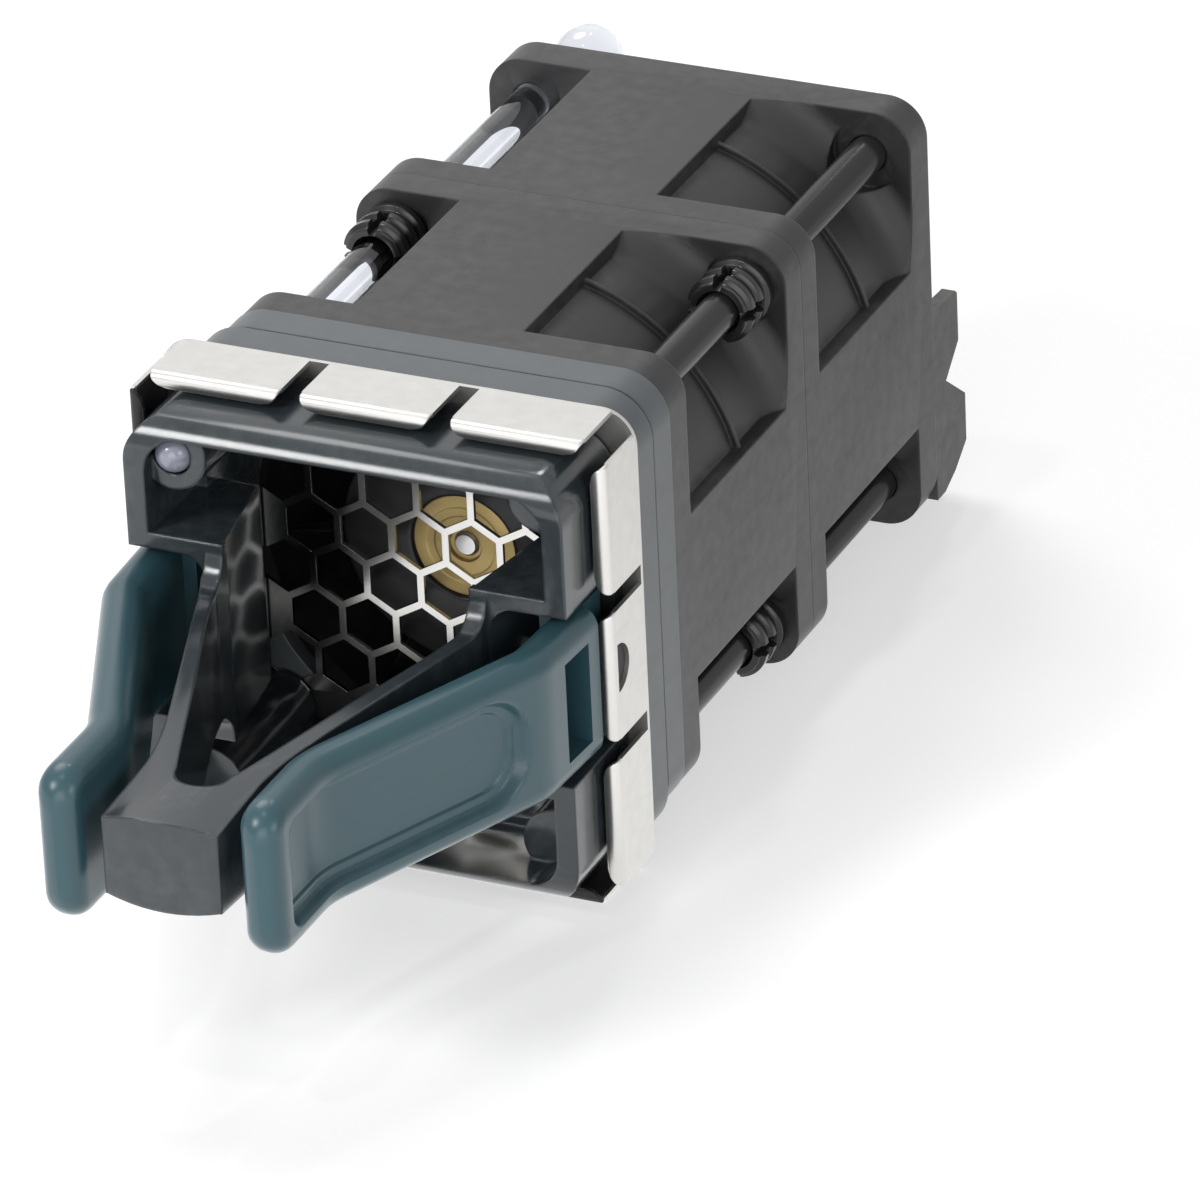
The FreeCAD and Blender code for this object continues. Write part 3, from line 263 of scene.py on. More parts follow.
def rounded_block(low: np.ndarray, high: np.ndarray, radius: float, steps: int = 3) -> np.ndarray:
    """A box with rounded edges as a stack of rings.

    Every point is a corner of the inner box, chosen by the signs of a direction, plus the
    radius times that direction; the directions run over a sphere by longitude and latitude.

    Args:
        low: lowest corner.
        high: highest corner.
        radius: rounding of the edges.
        steps: points of each rounding.

    Returns:
        An array (ring, point, 3).
    """
    quarter = np.linspace(0.0, np.pi / 2, steps)
    turn = (quarter[None, :] + np.arange(4)[:, None] * np.pi / 2).ravel()
    sign_x = np.repeat((1.0, -1.0, -1.0, 1.0), steps)
    sign_y = np.repeat((1.0, 1.0, -1.0, -1.0), steps)
    rise = np.concatenate((quarter - np.pi / 2, quarter))[:, None]
    sign_z = np.repeat((-1.0, 1.0), steps)[:, None]
    middle, inner = (low + high) / 2, (high - low) / 2 - radius
    return np.stack((middle[0] + sign_x * inner[0] + radius * np.cos(rise) * np.cos(turn),
                     middle[1] + sign_y * inner[1] + radius * np.cos(rise) * np.sin(turn),
                     middle[2] + sign_z * inner[2] + radius * np.sin(rise) + 0.0 * turn), axis=-1)


def lies_at(edge: bmesh.types.BMEdge, along: float) -> bool:
    """Whether both ends of an edge lie at one place along Y."""
    return all(abs(vert.co.y - along) < SAME_PLACE for vert in edge.verts)


def cut_flat(sculpt: bmesh.types.BMesh, front: float) -> None:
    """Take away what lies in front of a plane and close the openings that this leaves.

    Args:
        sculpt: the mesh that is being worked on.
        front: place of the plane along Y.
    """
    ahead = [face for face in sculpt.faces if min(vert.co.y for vert in face.verts) < front]
    around = {edge for face in ahead for edge in face.edges}
    corners = {vert for face in ahead for vert in face.verts}
    bmesh.ops.bisect_plane(sculpt, geom=[*corners, *around, *ahead], dist=1e-7,
                           plane_co=(0.0, front, 0.0), plane_no=(0.0, 1.0, 0.0), clear_inner=True)
    rims = [edge for edge in sculpt.edges if edge.is_boundary and lies_at(edge, front)]
    for lid in bmesh.ops.holes_fill(sculpt, edges=rims, sides=0)["faces"]:
        lid.normal_update()
        if lid.normal.y > 0.0:
            lid.normal_flip()


def softened(node: str, width: float, angle: float = 34.0,
             front: float | None = None) -> bpy.types.Object:
    """A copy of a CAD node with its points merged, flat faces joined and sharp edges rounded.

    Args:
        node: the CAD node's name.
        width: width of the rounded edges in metres.
        angle: smallest angle of an edge that is rounded, in degrees.
        front: where the copy ends with a flat cut, if it does; the cut's own edges stay sharp.

    Returns:
        The new object, named after the node.
    """
    mesh = bpy.data.objects[node].data.copy()
    mesh.name = f"{node}_soft"
    mesh.materials.clear()
    sculpt = bmesh.new()
    sculpt.from_mesh(mesh)
    bmesh.ops.remove_doubles(sculpt, verts=sculpt.verts, dist=2 * SAME_PLACE)
    bmesh.ops.dissolve_limit(sculpt, angle_limit=FLAT_WITHIN, verts=sculpt.verts, edges=sculpt.edges,
                             use_dissolve_boundaries=False)
    if front is not None:
        cut_flat(sculpt, front)
    weight = sculpt.edges.layers.float.new("bevel_weight_edge")
    for edge in sculpt.edges:
        if len(edge.link_faces) == 2 and not (front is not None and lies_at(edge, front)):
            edge[weight] = float(edge.calc_face_angle() > math.radians(angle))
    sculpt.to_mesh(mesh)
    sculpt.free()
    shade_by_angle(mesh)
    piece = add_object(f"{node}_shown", mesh)
    bevel = piece.modifiers.new("edges", "BEVEL")
    bevel.width = width
    bevel.segments = 3
    bevel.limit_method = "WEIGHT"
    bevel.harden_normals = True
    bevel.use_clamp_overlap = True
    return piece


def join_into(piece: bpy.types.Object, other: bpy.types.Object) -> None:
    """Move another object's skin into a piece and drop the other object.

    Args:
        piece: the object that stays.
        other: the object whose mesh is added.
    """
    sculpt = bmesh.new()
    sculpt.from_mesh(piece.data)
    sculpt.from_mesh(other.data)
    sculpt.to_mesh(piece.data)
    sculpt.free()
    bpy.data.meshes.remove(other.data)
    shade_by_angle(piece.data)


# ---------------------------------------------------------------- shared shader effects

def feed(tree: bpy.types.NodeTree, socket: bpy.types.NodeSocket, value: object) -> None:
    """Give an input its value: a link where the value is a socket, else a number or a colour.

    Args:
        tree: the nodes that hold the input.
        socket: the input.
        value: a socket, a number or a colour.
    """
    if isinstance(value, bpy.types.NodeSocket):
        tree.links.new(value, socket)
    else:
        socket.default_value = value


def math_node(tree: bpy.types.NodeTree, operation: str, *values: object,
              clamp: bool = False) -> bpy.types.NodeSocket:
    """Add a Math node.

    Args:
        tree: the nodes to add it to.
        operation: the node's operation.
        values: a socket or a number for each input that the operation takes.
        clamp: whether the result stays between 0 and 1.

    Returns:
        The node's result.
    """
    made = tree.nodes.new("ShaderNodeMath")
    made.operation, made.use_clamp = operation, clamp
    for socket, value in zip(made.inputs, values):
        feed(tree, socket, value)
    return made.outputs[0]


def range_node(tree: bpy.types.NodeTree, value: bpy.types.NodeSocket, target: tuple[float, float],
               source: tuple[float, float] = (0.0, 1.0), smooth: bool = False) -> bpy.types.NodeSocket:
    """Add a Map Range node.

    Args:
        tree: the nodes to add it to.
        value: the value that is carried from one range to another.
        target: the results at the two ends.
        source: the values that give them.
        smooth: whether the change starts and ends gently.

    Returns:
        The node's result.
    """
    made = tree.nodes.new("ShaderNodeMapRange")
    made.interpolation_type = "SMOOTHSTEP" if smooth else "LINEAR"
    for name, number in zip(("From Min", "From Max", "To Min", "To Max"), (*source, *target)):
        made.inputs[name].default_value = number
    tree.links.new(value, made.inputs["Value"])
    return made.outputs["Result"]


def object_place(tree: bpy.types.NodeTree) -> bpy.types.NodeSocket:
    """Object coordinates, in metres."""
    return tree.nodes.new("ShaderNodeTexCoord").outputs["Object"]


def split(tree: bpy.types.NodeTree, vector: bpy.types.NodeSocket) -> bpy.types.bpy_prop_collection:
    """The parts of a vector, by the names X, Y and Z."""
    made = tree.nodes.new("ShaderNodeSeparateXYZ")
    tree.links.new(vector, made.inputs[0])
    return made.outputs


MOTTLE_SCALE, WEAR_SCALE, DUST_SCALE, SCRATCH_SCALE = 420.0, 700.0, 260.0, 160.0
CONVEX_FROM, CONVEX_GAIN = 0.51, 14.0
BREAK_FROM, BREAK_GAIN = 0.35, 3.0
DUST_CATCH = 0.8
HAIRLINE_SHARPNESS = 70.0


@dataclass(frozen=True)
class Socket:
    """One socket of a shader group."""

    name: str
    kind: str
    default: float | tuple[float, ...] | None = None


class Effect:
    """A shader node group built once and placed in many materials."""

    def __init__(self, name: str, inputs: Sequence[Socket], outputs: Sequence[Socket],
                 wire: Callable[["Effect"], None]) -> None:
        """Build the group.

        Args:
            name: the group's name.
            inputs: its inputs.
            outputs: its outputs.
            wire: a function that adds and joins its nodes.
        """
        self.tree = bpy.data.node_groups.new(name, "ShaderNodeTree")
        for socket in inputs:
            made = self.tree.interface.new_socket(socket.name, in_out="INPUT", socket_type=socket.kind)
            if socket.default is not None:
                made.default_value = socket.default
        for socket in outputs:
            self.tree.interface.new_socket(socket.name, in_out="OUTPUT", socket_type=socket.kind)
        self.source = self.tree.nodes.new("NodeGroupInput")
        self.sink = self.tree.nodes.new("NodeGroupOutput")
        wire(self)

    def asked(self, name: str) -> bpy.types.NodeSocket:
        """One of the group's inputs, for use inside it."""
        return self.source.outputs[name]

    def give(self, name: str, result: bpy.types.NodeSocket) -> None:
        """Join a result to one of the group's outputs."""
        self.tree.links.new(result, self.sink.inputs[name])

    def math(self, operation: str, *values: object, clamp: bool = False) -> bpy.types.NodeSocket:
        """Add a Math node to the group, as math_node does."""
        return math_node(self.tree, operation, *values, clamp=clamp)

    def vector_math(self, operation: str, other: str) -> bpy.types.Node:
        """Add a Vector Math node on Object coordinates and one of the group's inputs."""
        made = self.tree.nodes.new("ShaderNodeVectorMath")
        made.operation = operation
        self.tree.links.new(object_place(self.tree), made.inputs[0])
        self.tree.links.new(self.asked(other), made.inputs[1])
        return made

    def noise(self, scale: object, detail: float, place: bpy.types.NodeSocket | None = None
              ) -> bpy.types.NodeSocket:
        """Add a noise.

        Args:
            scale: its scale, a socket or a number.
            detail: how many finer noises are laid over it.
            place: where it is looked up, or Object coordinates.

        Returns:
            The noise, between 0 and 1.
        """
        made = self.tree.nodes.new("ShaderNodeTexNoise")
        feed(self.tree, made.inputs["Vector"], place or object_place(self.tree))
        feed(self.tree, made.inputs["Scale"], scale)
        feed(self.tree, made.inputs["Detail"], detail)
        return made.outputs["Fac"]


def wire_grain(effect: Effect) -> None:
    """Two sizes of noise: a fine one for the height and a broad one for soft mottling."""
    place = effect.vector_math("MULTIPLY", "Stretch").outputs[0]
    effect.give("Height", effect.noise(effect.asked("Scale"), 3.0, place))
    effect.give("Mottle", effect.noise(MOTTLE_SCALE, 5.0))


def wire_wear(effect: Effect) -> None:
    """Rubbed edges: convex edges found from the surface's pointiness, broken up by noise."""
    pointed = effect.tree.nodes.new("ShaderNodeNewGeometry").outputs["Pointiness"]
    ridge = effect.math("MULTIPLY", effect.math("SUBTRACT", pointed, CONVEX_FROM), CONVEX_GAIN, clamp=True)
    broken = effect.math("SUBTRACT", effect.noise(WEAR_SCALE, 5.0), BREAK_FROM)
    worn = effect.math("MULTIPLY", ridge, effect.math("MULTIPLY", broken, BREAK_GAIN, clamp=True))
    effect.give("Mask", effect.math("MULTIPLY", worn, effect.asked("Amount"), clamp=True))


def wire_dust(effect: Effect) -> None:
    """Thin dust that settles on faces looking up, thicker where a noise says so."""
    normal = effect.tree.nodes.new("ShaderNodeNewGeometry").outputs["Normal"]
    upward = effect.math("MULTIPLY", split(effect.tree, normal)["Z"], DUST_CATCH, clamp=True)
    patchy = effect.math("MULTIPLY", effect.noise(DUST_SCALE, 6.0), effect.asked("Amount"))
    effect.give("Mask", effect.math("MULTIPLY", upward, patchy, clamp=True))


def wire_rows(effect: Effect) -> None:
    """Rows side by side, such as turns of wire or stacked sheets.

    The height is the sine of the distance along a direction, counted in pitches.
    """
    along = effect.vector_math("DOT_PRODUCT", "Direction").outputs["Value"]
    turns = effect.math("DIVIDE", along, effect.asked("Pitch"))
    wave = effect.math("SINE", effect.math("MULTIPLY", turns, 2.0 * math.pi))
    effect.give("Height", effect.math("MULTIPLY_ADD", wave, 0.5, 0.5))


def wire_scratches(effect: Effect) -> None:
    """Sparse hairlines: the thin bands where a stretched noise passes through its middle value."""
    noise = effect.noise(SCRATCH_SCALE, 2.0, effect.vector_math("MULTIPLY", "Stretch").outputs[0])
    away = effect.math("ABSOLUTE", effect.math("SUBTRACT", noise, 0.5))
    line = effect.math("SUBTRACT", 1.0, effect.math("MULTIPLY", away, HAIRLINE_SHARPNESS), clamp=True)
    effect.give("Mask", effect.math("MULTIPLY", line, effect.asked("Amount"), clamp=True))


class Effects:
    """The shader groups that the finishes share."""

    def __init__(self) -> None:
        """Build every group."""
        value, vector = "NodeSocketFloat", "NodeSocketVector"
        stretch = Socket("Stretch", vector, (1.0, 1.0, 1.0))
        mask = [Socket("Mask", value)]
        self.grain = Effect("Moulding grain", [Socket("Scale", value, 3000.0), stretch],
                            [Socket("Height", value), Socket("Mottle", value)], wire_grain)
        self.wear = Effect("Rubbed edges", [Socket("Amount", value, 0.5)], mask, wire_wear)
        self.dust = Effect("Settled dust", [Socket("Amount", value, 0.2)], mask, wire_dust)
        self.rows = Effect("Rows", [Socket("Direction", vector, (0.0, 1.0, 0.0)),
                                    Socket("Pitch", value, 0.3 * MM)], [Socket("Height", value)], wire_rows)
        self.scratches = Effect("Hairline scratches", [Socket("Amount", value, 0.3), stretch], mask,
                                wire_scratches)


# ---------------------------------------------------------------- finishes

DUST_COLOUR = (0.42, 0.41, 0.39, 1.0)
CLEAR_PLASTIC_IOR = 1.49
BUMP_HEIGHT = 0.05 * MM
ROW_STRENGTH, ROW_HEIGHT_SHARE = 0.8, 0.3
SCRATCH_STRETCH, SCRATCH_ROUGHNESS = (1.0, 0.12, 1.0), 0.25
CLEAR_ROUGHNESS_SHARES = (0.6, 1.8)


class Surface(Enum):
    """How a finish takes the light."""

    PLASTIC = "plastic"
    METAL = "metal"
    CLEAR = "clear"


@dataclass(frozen=True)
class Finish:
    """One finish and the numbers that describe it.

    Lengths, such as the soft edge and the half side of the bright field, are in metres; a soft
    edge, a bright field or rows of nothing leave that effect out.
    """

    name: str
    colour: tuple[float, float, float]
    roughness: float
    surface: Surface = Surface.PLASTIC
    mottle: float = 0.06
    worn_colour: tuple[float, float, float] = (0.35, 0.35, 0.35)
    wear: float = 0.35
    dust: float = 0.02
    grain_scale: float = 3000.0
    grain_depth: float = 0.12
    stretch: tuple[float, float, float] = (1.0, 1.0, 1.0)
    roughness_spread: float = 0.05
    specular: float = 0.5
    scratches: float = 0.15
    rows: tuple[float, float, float] | None = None
    row_pitch: float = 0.3 * MM
    soft_edge: float = 0.0
    bright_field: float = 0.0
    bright_roughness: float = 0.20

    def build(self, effects: Effects) -> bpy.types.Material:
        """Make the material.

        Args:
            effects: the shared shader groups.

        Returns:
            The new material.
        """
        material = bpy.data.materials.new(self.name)
        material.use_nodes = True
        tree = material.node_tree
        shader = tree.nodes["Principled BSDF"]
        grain = self.place(tree, effects.grain, Scale=self.grain_scale, Stretch=self.stretch)
        if self.surface is Surface.CLEAR:
            self.fill_clear(tree, shader, grain.outputs["Mottle"])
        else:
            self.fill_solid(tree, shader, grain.outputs["Mottle"], effects)
        tree.links.new(self.relief(tree, effects, grain), shader.inputs["Normal"])
        return material

    def fill_solid(self, tree: bpy.types.NodeTree, shader: bpy.types.Node, mottle: bpy.types.NodeSocket,
                   effects: Effects) -> None:
        """Give the shader the worn, dusted and lightly scratched colour of a metal or plastic.

        Args:
            tree: the material's nodes.
            shader: its shader.
            mottle: the grain's mottling.
            effects: the shared shader groups.
        """
        shader.inputs["Metallic"].default_value = 1.0 if self.surface is Surface.METAL else 0.0
        shader.inputs["Specular IOR Level"].default_value = self.specular
        wear = self.place(tree, effects.wear, Amount=self.wear).outputs["Mask"]
        dust = self.place(tree, effects.dust, Amount=self.dust).outputs["Mask"]
        shade = self.mixer(tree, mottle, self.scaled(1.0 - self.mottle), self.scaled(1.0 + self.mottle))
        rubbed = self.mixer(tree, wear, shade, (*self.worn_colour, 1.0))
        tree.links.new(self.mixer(tree, dust, rubbed, DUST_COLOUR), shader.inputs["Base Color"])
        spread = range_node(tree, mottle, (max(0.02, self.roughness - self.roughness_spread),
                                           min(1.0, self.roughness + self.roughness_spread)))
        scratched = self.place(tree, effects.scratches, Amount=self.scratches, Stretch=SCRATCH_STRETCH)
        rough = math_node(tree, "MULTIPLY_ADD", scratched.outputs["Mask"], SCRATCH_ROUGHNESS, spread,
                          clamp=True)
        if self.bright_field:
            rough = self.smoother_field(tree, rough)
        tree.links.new(rough, shader.inputs["Roughness"])

    def fill_clear(self, tree: bpy.types.NodeTree, shader: bpy.types.Node,
                   mottle: bpy.types.NodeSocket) -> None:
        """Make the shader a clear moulding with faint flow marks.

        Args:
            tree: the material's nodes.
            shader: its shader.
            mottle: the grain's mottling.
        """
        shader.inputs["Base Color"].default_value = (*self.colour, 1.0)
        shader.inputs["Transmission Weight"].default_value = 1.0
        shader.inputs["IOR"].default_value = CLEAR_PLASTIC_IOR
        low, high = (self.roughness * share for share in CLEAR_ROUGHNESS_SHARES)
        rough = range_node(tree, mottle, (low, high))
        tree.links.new(rough, shader.inputs["Roughness"])

    def smoother_field(self, tree: bpy.types.NodeTree, rough: bpy.types.NodeSocket) -> bpy.types.NodeSocket:
        """Polish a square field about the module's axis and leave the rest as it is.

        Args:
            tree: the material's nodes.
            rough: roughness outside the field.

        Returns:
            The roughness everywhere.
        """
        parts = split(tree, object_place(tree))
        rise = math_node(tree, "SUBTRACT", parts["Z"], AXIS_HEIGHT)
        far = math_node(tree, "MAXIMUM", math_node(tree, "ABSOLUTE", parts["X"]),
                        math_node(tree, "ABSOLUTE", rise))
        mix = tree.nodes.new("ShaderNodeMix")
        tree.links.new(math_node(tree, "GREATER_THAN", far, self.bright_field), mix.inputs[0])
        mix.inputs[2].default_value = self.bright_roughness
        tree.links.new(rough, mix.inputs[3])
        return mix.outputs[0]

    def relief(self, tree: bpy.types.NodeTree, effects: Effects,
               grain: bpy.types.Node) -> bpy.types.NodeSocket:
        """Turn the grain, and the soft edge or rows where the finish has them, into a bumped normal.

        Args:
            tree: the material's nodes.
            effects: the shared shader groups.
            grain: the material's grain.

        Returns:
            The normal's socket.
        """
        bump = self.bump(tree, grain.outputs["Height"], self.grain_depth, BUMP_HEIGHT)
        if self.soft_edge:
            rounding = tree.nodes.new("ShaderNodeBevel")
            rounding.samples = 6
            rounding.inputs["Radius"].default_value = self.soft_edge
            tree.links.new(rounding.outputs["Normal"], bump.inputs["Normal"])
        if self.rows is not None:
            rows = self.place(tree, effects.rows, Direction=self.rows, Pitch=self.row_pitch)
            ridged = self.bump(tree, rows.outputs["Height"], ROW_STRENGTH,
                               self.row_pitch * ROW_HEIGHT_SHARE)
            tree.links.new(ridged.outputs["Normal"], bump.inputs["Normal"])
        return bump.outputs["Normal"]

    def scaled(self, factor: float) -> tuple[float, ...]:
        """The finish's colour made darker or lighter."""
        return (*(min(1.0, channel * factor) for channel in self.colour), 1.0)

    @staticmethod
    def bump(tree: bpy.types.NodeTree, height: bpy.types.NodeSocket, strength: float,
             distance: float) -> bpy.types.Node:
        """Add a Bump node of a strength over a height in metres."""
        made = tree.nodes.new("ShaderNodeBump")
        made.inputs["Strength"].default_value = strength
        made.inputs["Distance"].default_value = distance
        tree.links.new(height, made.inputs["Height"])
        return made

    @staticmethod
    def place(tree: bpy.types.NodeTree, effect: Effect, **values: object) -> bpy.types.Node:
        """Put a shared group into a material with its own values.

        Args:
            tree: the material's nodes.
            effect: the shared group.
            values: the group's inputs by their names.

        Returns:
            The group's node.
        """
        made = tree.nodes.new("ShaderNodeGroup")
        made.node_tree = effect.tree
        for name, value in values.items():
            made.inputs[name].default_value = value
        return made

    @staticmethod
    def mixer(tree: bpy.types.NodeTree, mask: bpy.types.NodeSocket, low: object,
              high: object) -> bpy.types.NodeSocket:
        """Blend two colours by a mask.

        Args:
            tree: the material's nodes.
            mask: a socket between 0 and 1.
            low: colour or socket where the mask is 0.
            high: colour or socket where the mask is 1.

        Returns:
            The blended colour's socket.
        """
        mix = tree.nodes.new("ShaderNodeMix")
        mix.data_type = "RGBA"
        tree.links.new(mask, mix.inputs[0])
        feed(tree, mix.inputs[6], low)
        feed(tree, mix.inputs[7], high)
        return mix.outputs[2]


ALONG_AXIS = (0.0, 1.0, 0.0)
FINISHES: dict[str, Finish] = {
    "housing": Finish("Black housing plastic", (0.022, 0.0223, 0.0230), 0.42, grain_scale=4200.0,
                      grain_depth=0.22, specular=0.34, soft_edge=0.3 * MM, worn_colour=(0.10, 0.10, 0.10),
                      dust=0.03, wear=0.3, mottle=0.015, roughness_spread=0.02),
    "blades": Finish("Black blade plastic", (0.026, 0.026, 0.027), 0.36, worn_colour=(0.07, 0.07, 0.07),
                     dust=0.02, specular=0.35),
    "bezel": Finish("Blue-grey glossy plastic", (0.029, 0.037, 0.043), 0.16, grain_depth=0.01,
                    specular=0.45, soft_edge=0.4 * MM, worn_colour=(0.16, 0.18, 0.19), dust=0.0,
                    wear=0.15, mottle=0.02, roughness_spread=0.02, scratches=0.05),
    "lever": Finish("Teal lever plastic", (0.033, 0.086, 0.106), 0.31, grain_depth=0.04, specular=0.40,
                    worn_colour=(0.12, 0.20, 0.23), dust=0.005, wear=0.12, mottle=0.02,
                    roughness_spread=0.02, scratches=0.05),
    "frame": Finish("Grey frame plastic", (0.098, 0.112, 0.119), 0.40, grain_scale=4200.0,
                    grain_depth=0.15, soft_edge=0.3 * MM, worn_colour=(0.26, 0.28, 0.29), dust=0.01,
                    wear=0.2, specular=0.38, mottle=0.03),
    "shield": Finish("Brushed shield metal", (0.46, 0.455, 0.44), 0.38, Surface.METAL, grain_scale=700.0,
                     bright_field=18.0 * MM, stretch=(5.0, 0.3, 5.0), grain_depth=0.015,
                     worn_colour=(0.80, 0.79, 0.77), dust=0.0, mottle=0.015, wear=0.1,
                     roughness_spread=0.03, scratches=0.2),
    "brass": Finish("Passivated boss", (0.50, 0.38, 0.17), 0.50, Surface.METAL, grain_scale=2600.0,
                    grain_depth=0.1, worn_colour=(0.62, 0.52, 0.32), dust=0.0),
    "steel": Finish("Ground steel", (0.52, 0.52, 0.53), 0.30, Surface.METAL, grain_scale=2500.0,
                    worn_colour=(0.7, 0.7, 0.7), dust=0.0),
    "magnet": Finish("Sintered magnet", (0.045, 0.045, 0.050), 0.62, worn_colour=(0.1, 0.1, 0.1), dust=0.0),
    "copper": Finish("Enamelled copper wire", (0.62, 0.25, 0.11), 0.30, Surface.METAL, dust=0.0,
                     rows=ALONG_AXIS, row_pitch=0.28 * MM),
    "laminations": Finish("Stamped laminations", (0.36, 0.36, 0.38), 0.42, Surface.METAL, dust=0.0,
                          rows=ALONG_AXIS, row_pitch=0.5 * MM),
    "board": Finish("Green board", (0.02, 0.13, 0.06), 0.35, dust=0.0, worn_colour=(0.1, 0.3, 0.15)),
    "rod": Finish("Glossy black rod", (0.022, 0.022, 0.023), 0.20, worn_colour=(0.06, 0.06, 0.06),
                  dust=0.0, grain_depth=0.02, specular=0.30, wear=0.1, mottle=0.02, roughness_spread=0.03),
    "collar": Finish("Black collar plastic", (0.014, 0.014, 0.015), 0.22, worn_colour=(0.05, 0.05, 0.05),
                     dust=0.0, grain_depth=0.03, specular=0.35, wear=0.15),
    "clear": Finish("Clear light pipe", (0.72, 0.74, 0.79), 0.03, Surface.CLEAR, grain_scale=1200.0,
                    grain_depth=0.02),
    "frosted": Finish("Frosted pipe end", (0.30, 0.31, 0.38), 0.16, grain_depth=0.02, dust=0.0, wear=0.0,
                      mottle=0.02),
    # Painted shade: a black sheet laid where the shield's fingers, walls and the margin below the honeycomb
    # lie in shadow.
    "shade_film": Finish("Black film", (0.010, 0.010, 0.011), 0.50, dust=0.0, wear=0.05, grain_depth=0.05,
                   specular=0.3),
    "bracket": Finish("Grey-green bracket plastic", (0.052, 0.055, 0.050), 0.48, grain_depth=0.15,
                      worn_colour=(0.16, 0.17, 0.16), dust=0.01, specular=0.35),
    "contacts": Finish("Plated contacts", (0.85, 0.63, 0.26), 0.22, Surface.METAL, dust=0.0),
}


# ---------------------------------------------------------------- the module's sub-assemblies

@dataclass
class Workshop:
    """What every sub-assembly needs: the frame, its slots and the ready materials."""

    frame: dict
    materials: dict[str, bpy.types.Material] = field(init=False)
    slots: dict[str, str] = field(init=False)
    bodies: dict[str, str] = field(init=False)

    def __post_init__(self) -> None:
        """Read slots and bodies from the record and build the materials."""
        record = self.frame["record"]
        self.slots = {part["node"]: part["material_slot"] for part in record["subparts"]}
        self.bodies = {node: body for body, members in record["behaviour"]["bodies"].items()
                       for node in members}
        effects = Effects()
        self.materials = {slot: finish.build(effects) for slot, finish in FINISHES.items()}

    def dress(self, piece: bpy.types.Object, finish: str) -> None:
        """Give a piece one finish and no other.

        Args:
            piece: the piece.
            finish: the finish's name.
        """
        piece.data.materials.clear()
        piece.data.materials.append(self.materials[finish])

    def add(self, piece: bpy.types.Object, body: str, slot: str, finish: str) -> bpy.types.Object:
        """Dress a piece that is extra to the CAD nodes.

        Args:
            piece: the piece.
            body: the body that it rides on.
            slot: the record's material slot; not used.
            finish: the finish's name.

        Returns:
            The same piece.
        """
        self.dress(piece, finish)
        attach(piece, body)
        log.info("%s is added to %s", piece.name, body)
        return piece

    def fit(self, piece: bpy.types.Object, node: str) -> bpy.types.Object:
        """Finish a piece and let it stand for a CAD node.

        Args:
            piece: the piece.
            node: the CAD node that it replaces.

        Returns:
            The same piece.
        """
        slot = self.slots[node]
        self.dress(piece, slot)
        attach(piece, self.bodies[node])
        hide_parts(node)
        log.info("%s stands for %s", piece.name, node)
        return piece

    def soften(self, node: str, width: float) -> bpy.types.Object:
        """Let a copy with rounded edges stand for a node.

        Args:
            node: the CAD node's name.
            width: width of the rounded edges in metres.

        Returns:
            The fitted copy.
        """
        return self.fit(softened(node, width), node)

    def paint(self, node: str) -> None:
        """Give a CAD node that stays as it is its finish."""
        self.dress(self.frame["nodes"][node], self.slots[node])
        log.info("%s keeps its own solid", node)


@dataclass(frozen=True)
class Seat:
    """Where a round node lies: its axis parallel to Y, its ends and its radius."""

    x: float
    z: float
    front: float
    rear: float
    radius: float

    @classmethod
    def of(cls, node: str) -> "Seat":
        """Read the seat from the node's box."""
        low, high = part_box(node)
        middle_x, middle_z = (low[0] + high[0]) / 2, (low[2] + high[2]) / 2
        return cls(middle_x, middle_z, low[1], high[1], (high[0] - low[0]) / 2)

    @property
    def centre(self) -> tuple[float, float]:
        """The axis in plan and height."""
        return self.x, self.z


@dataclass
class Bezel:
    """Glossy bezel with lever pockets and yoke handle, in its grey stepped frame."""

    shop: Workshop
    bezel_edge: float = 0.5 * MM
    frame_edge: float = 0.3 * MM

    def build(self) -> None:
        """Round the moulded edges of both parts."""
        self.shop.soften("bezel_handle", self.bezel_edge)
        self.shop.soften("rear_frame", self.frame_edge)


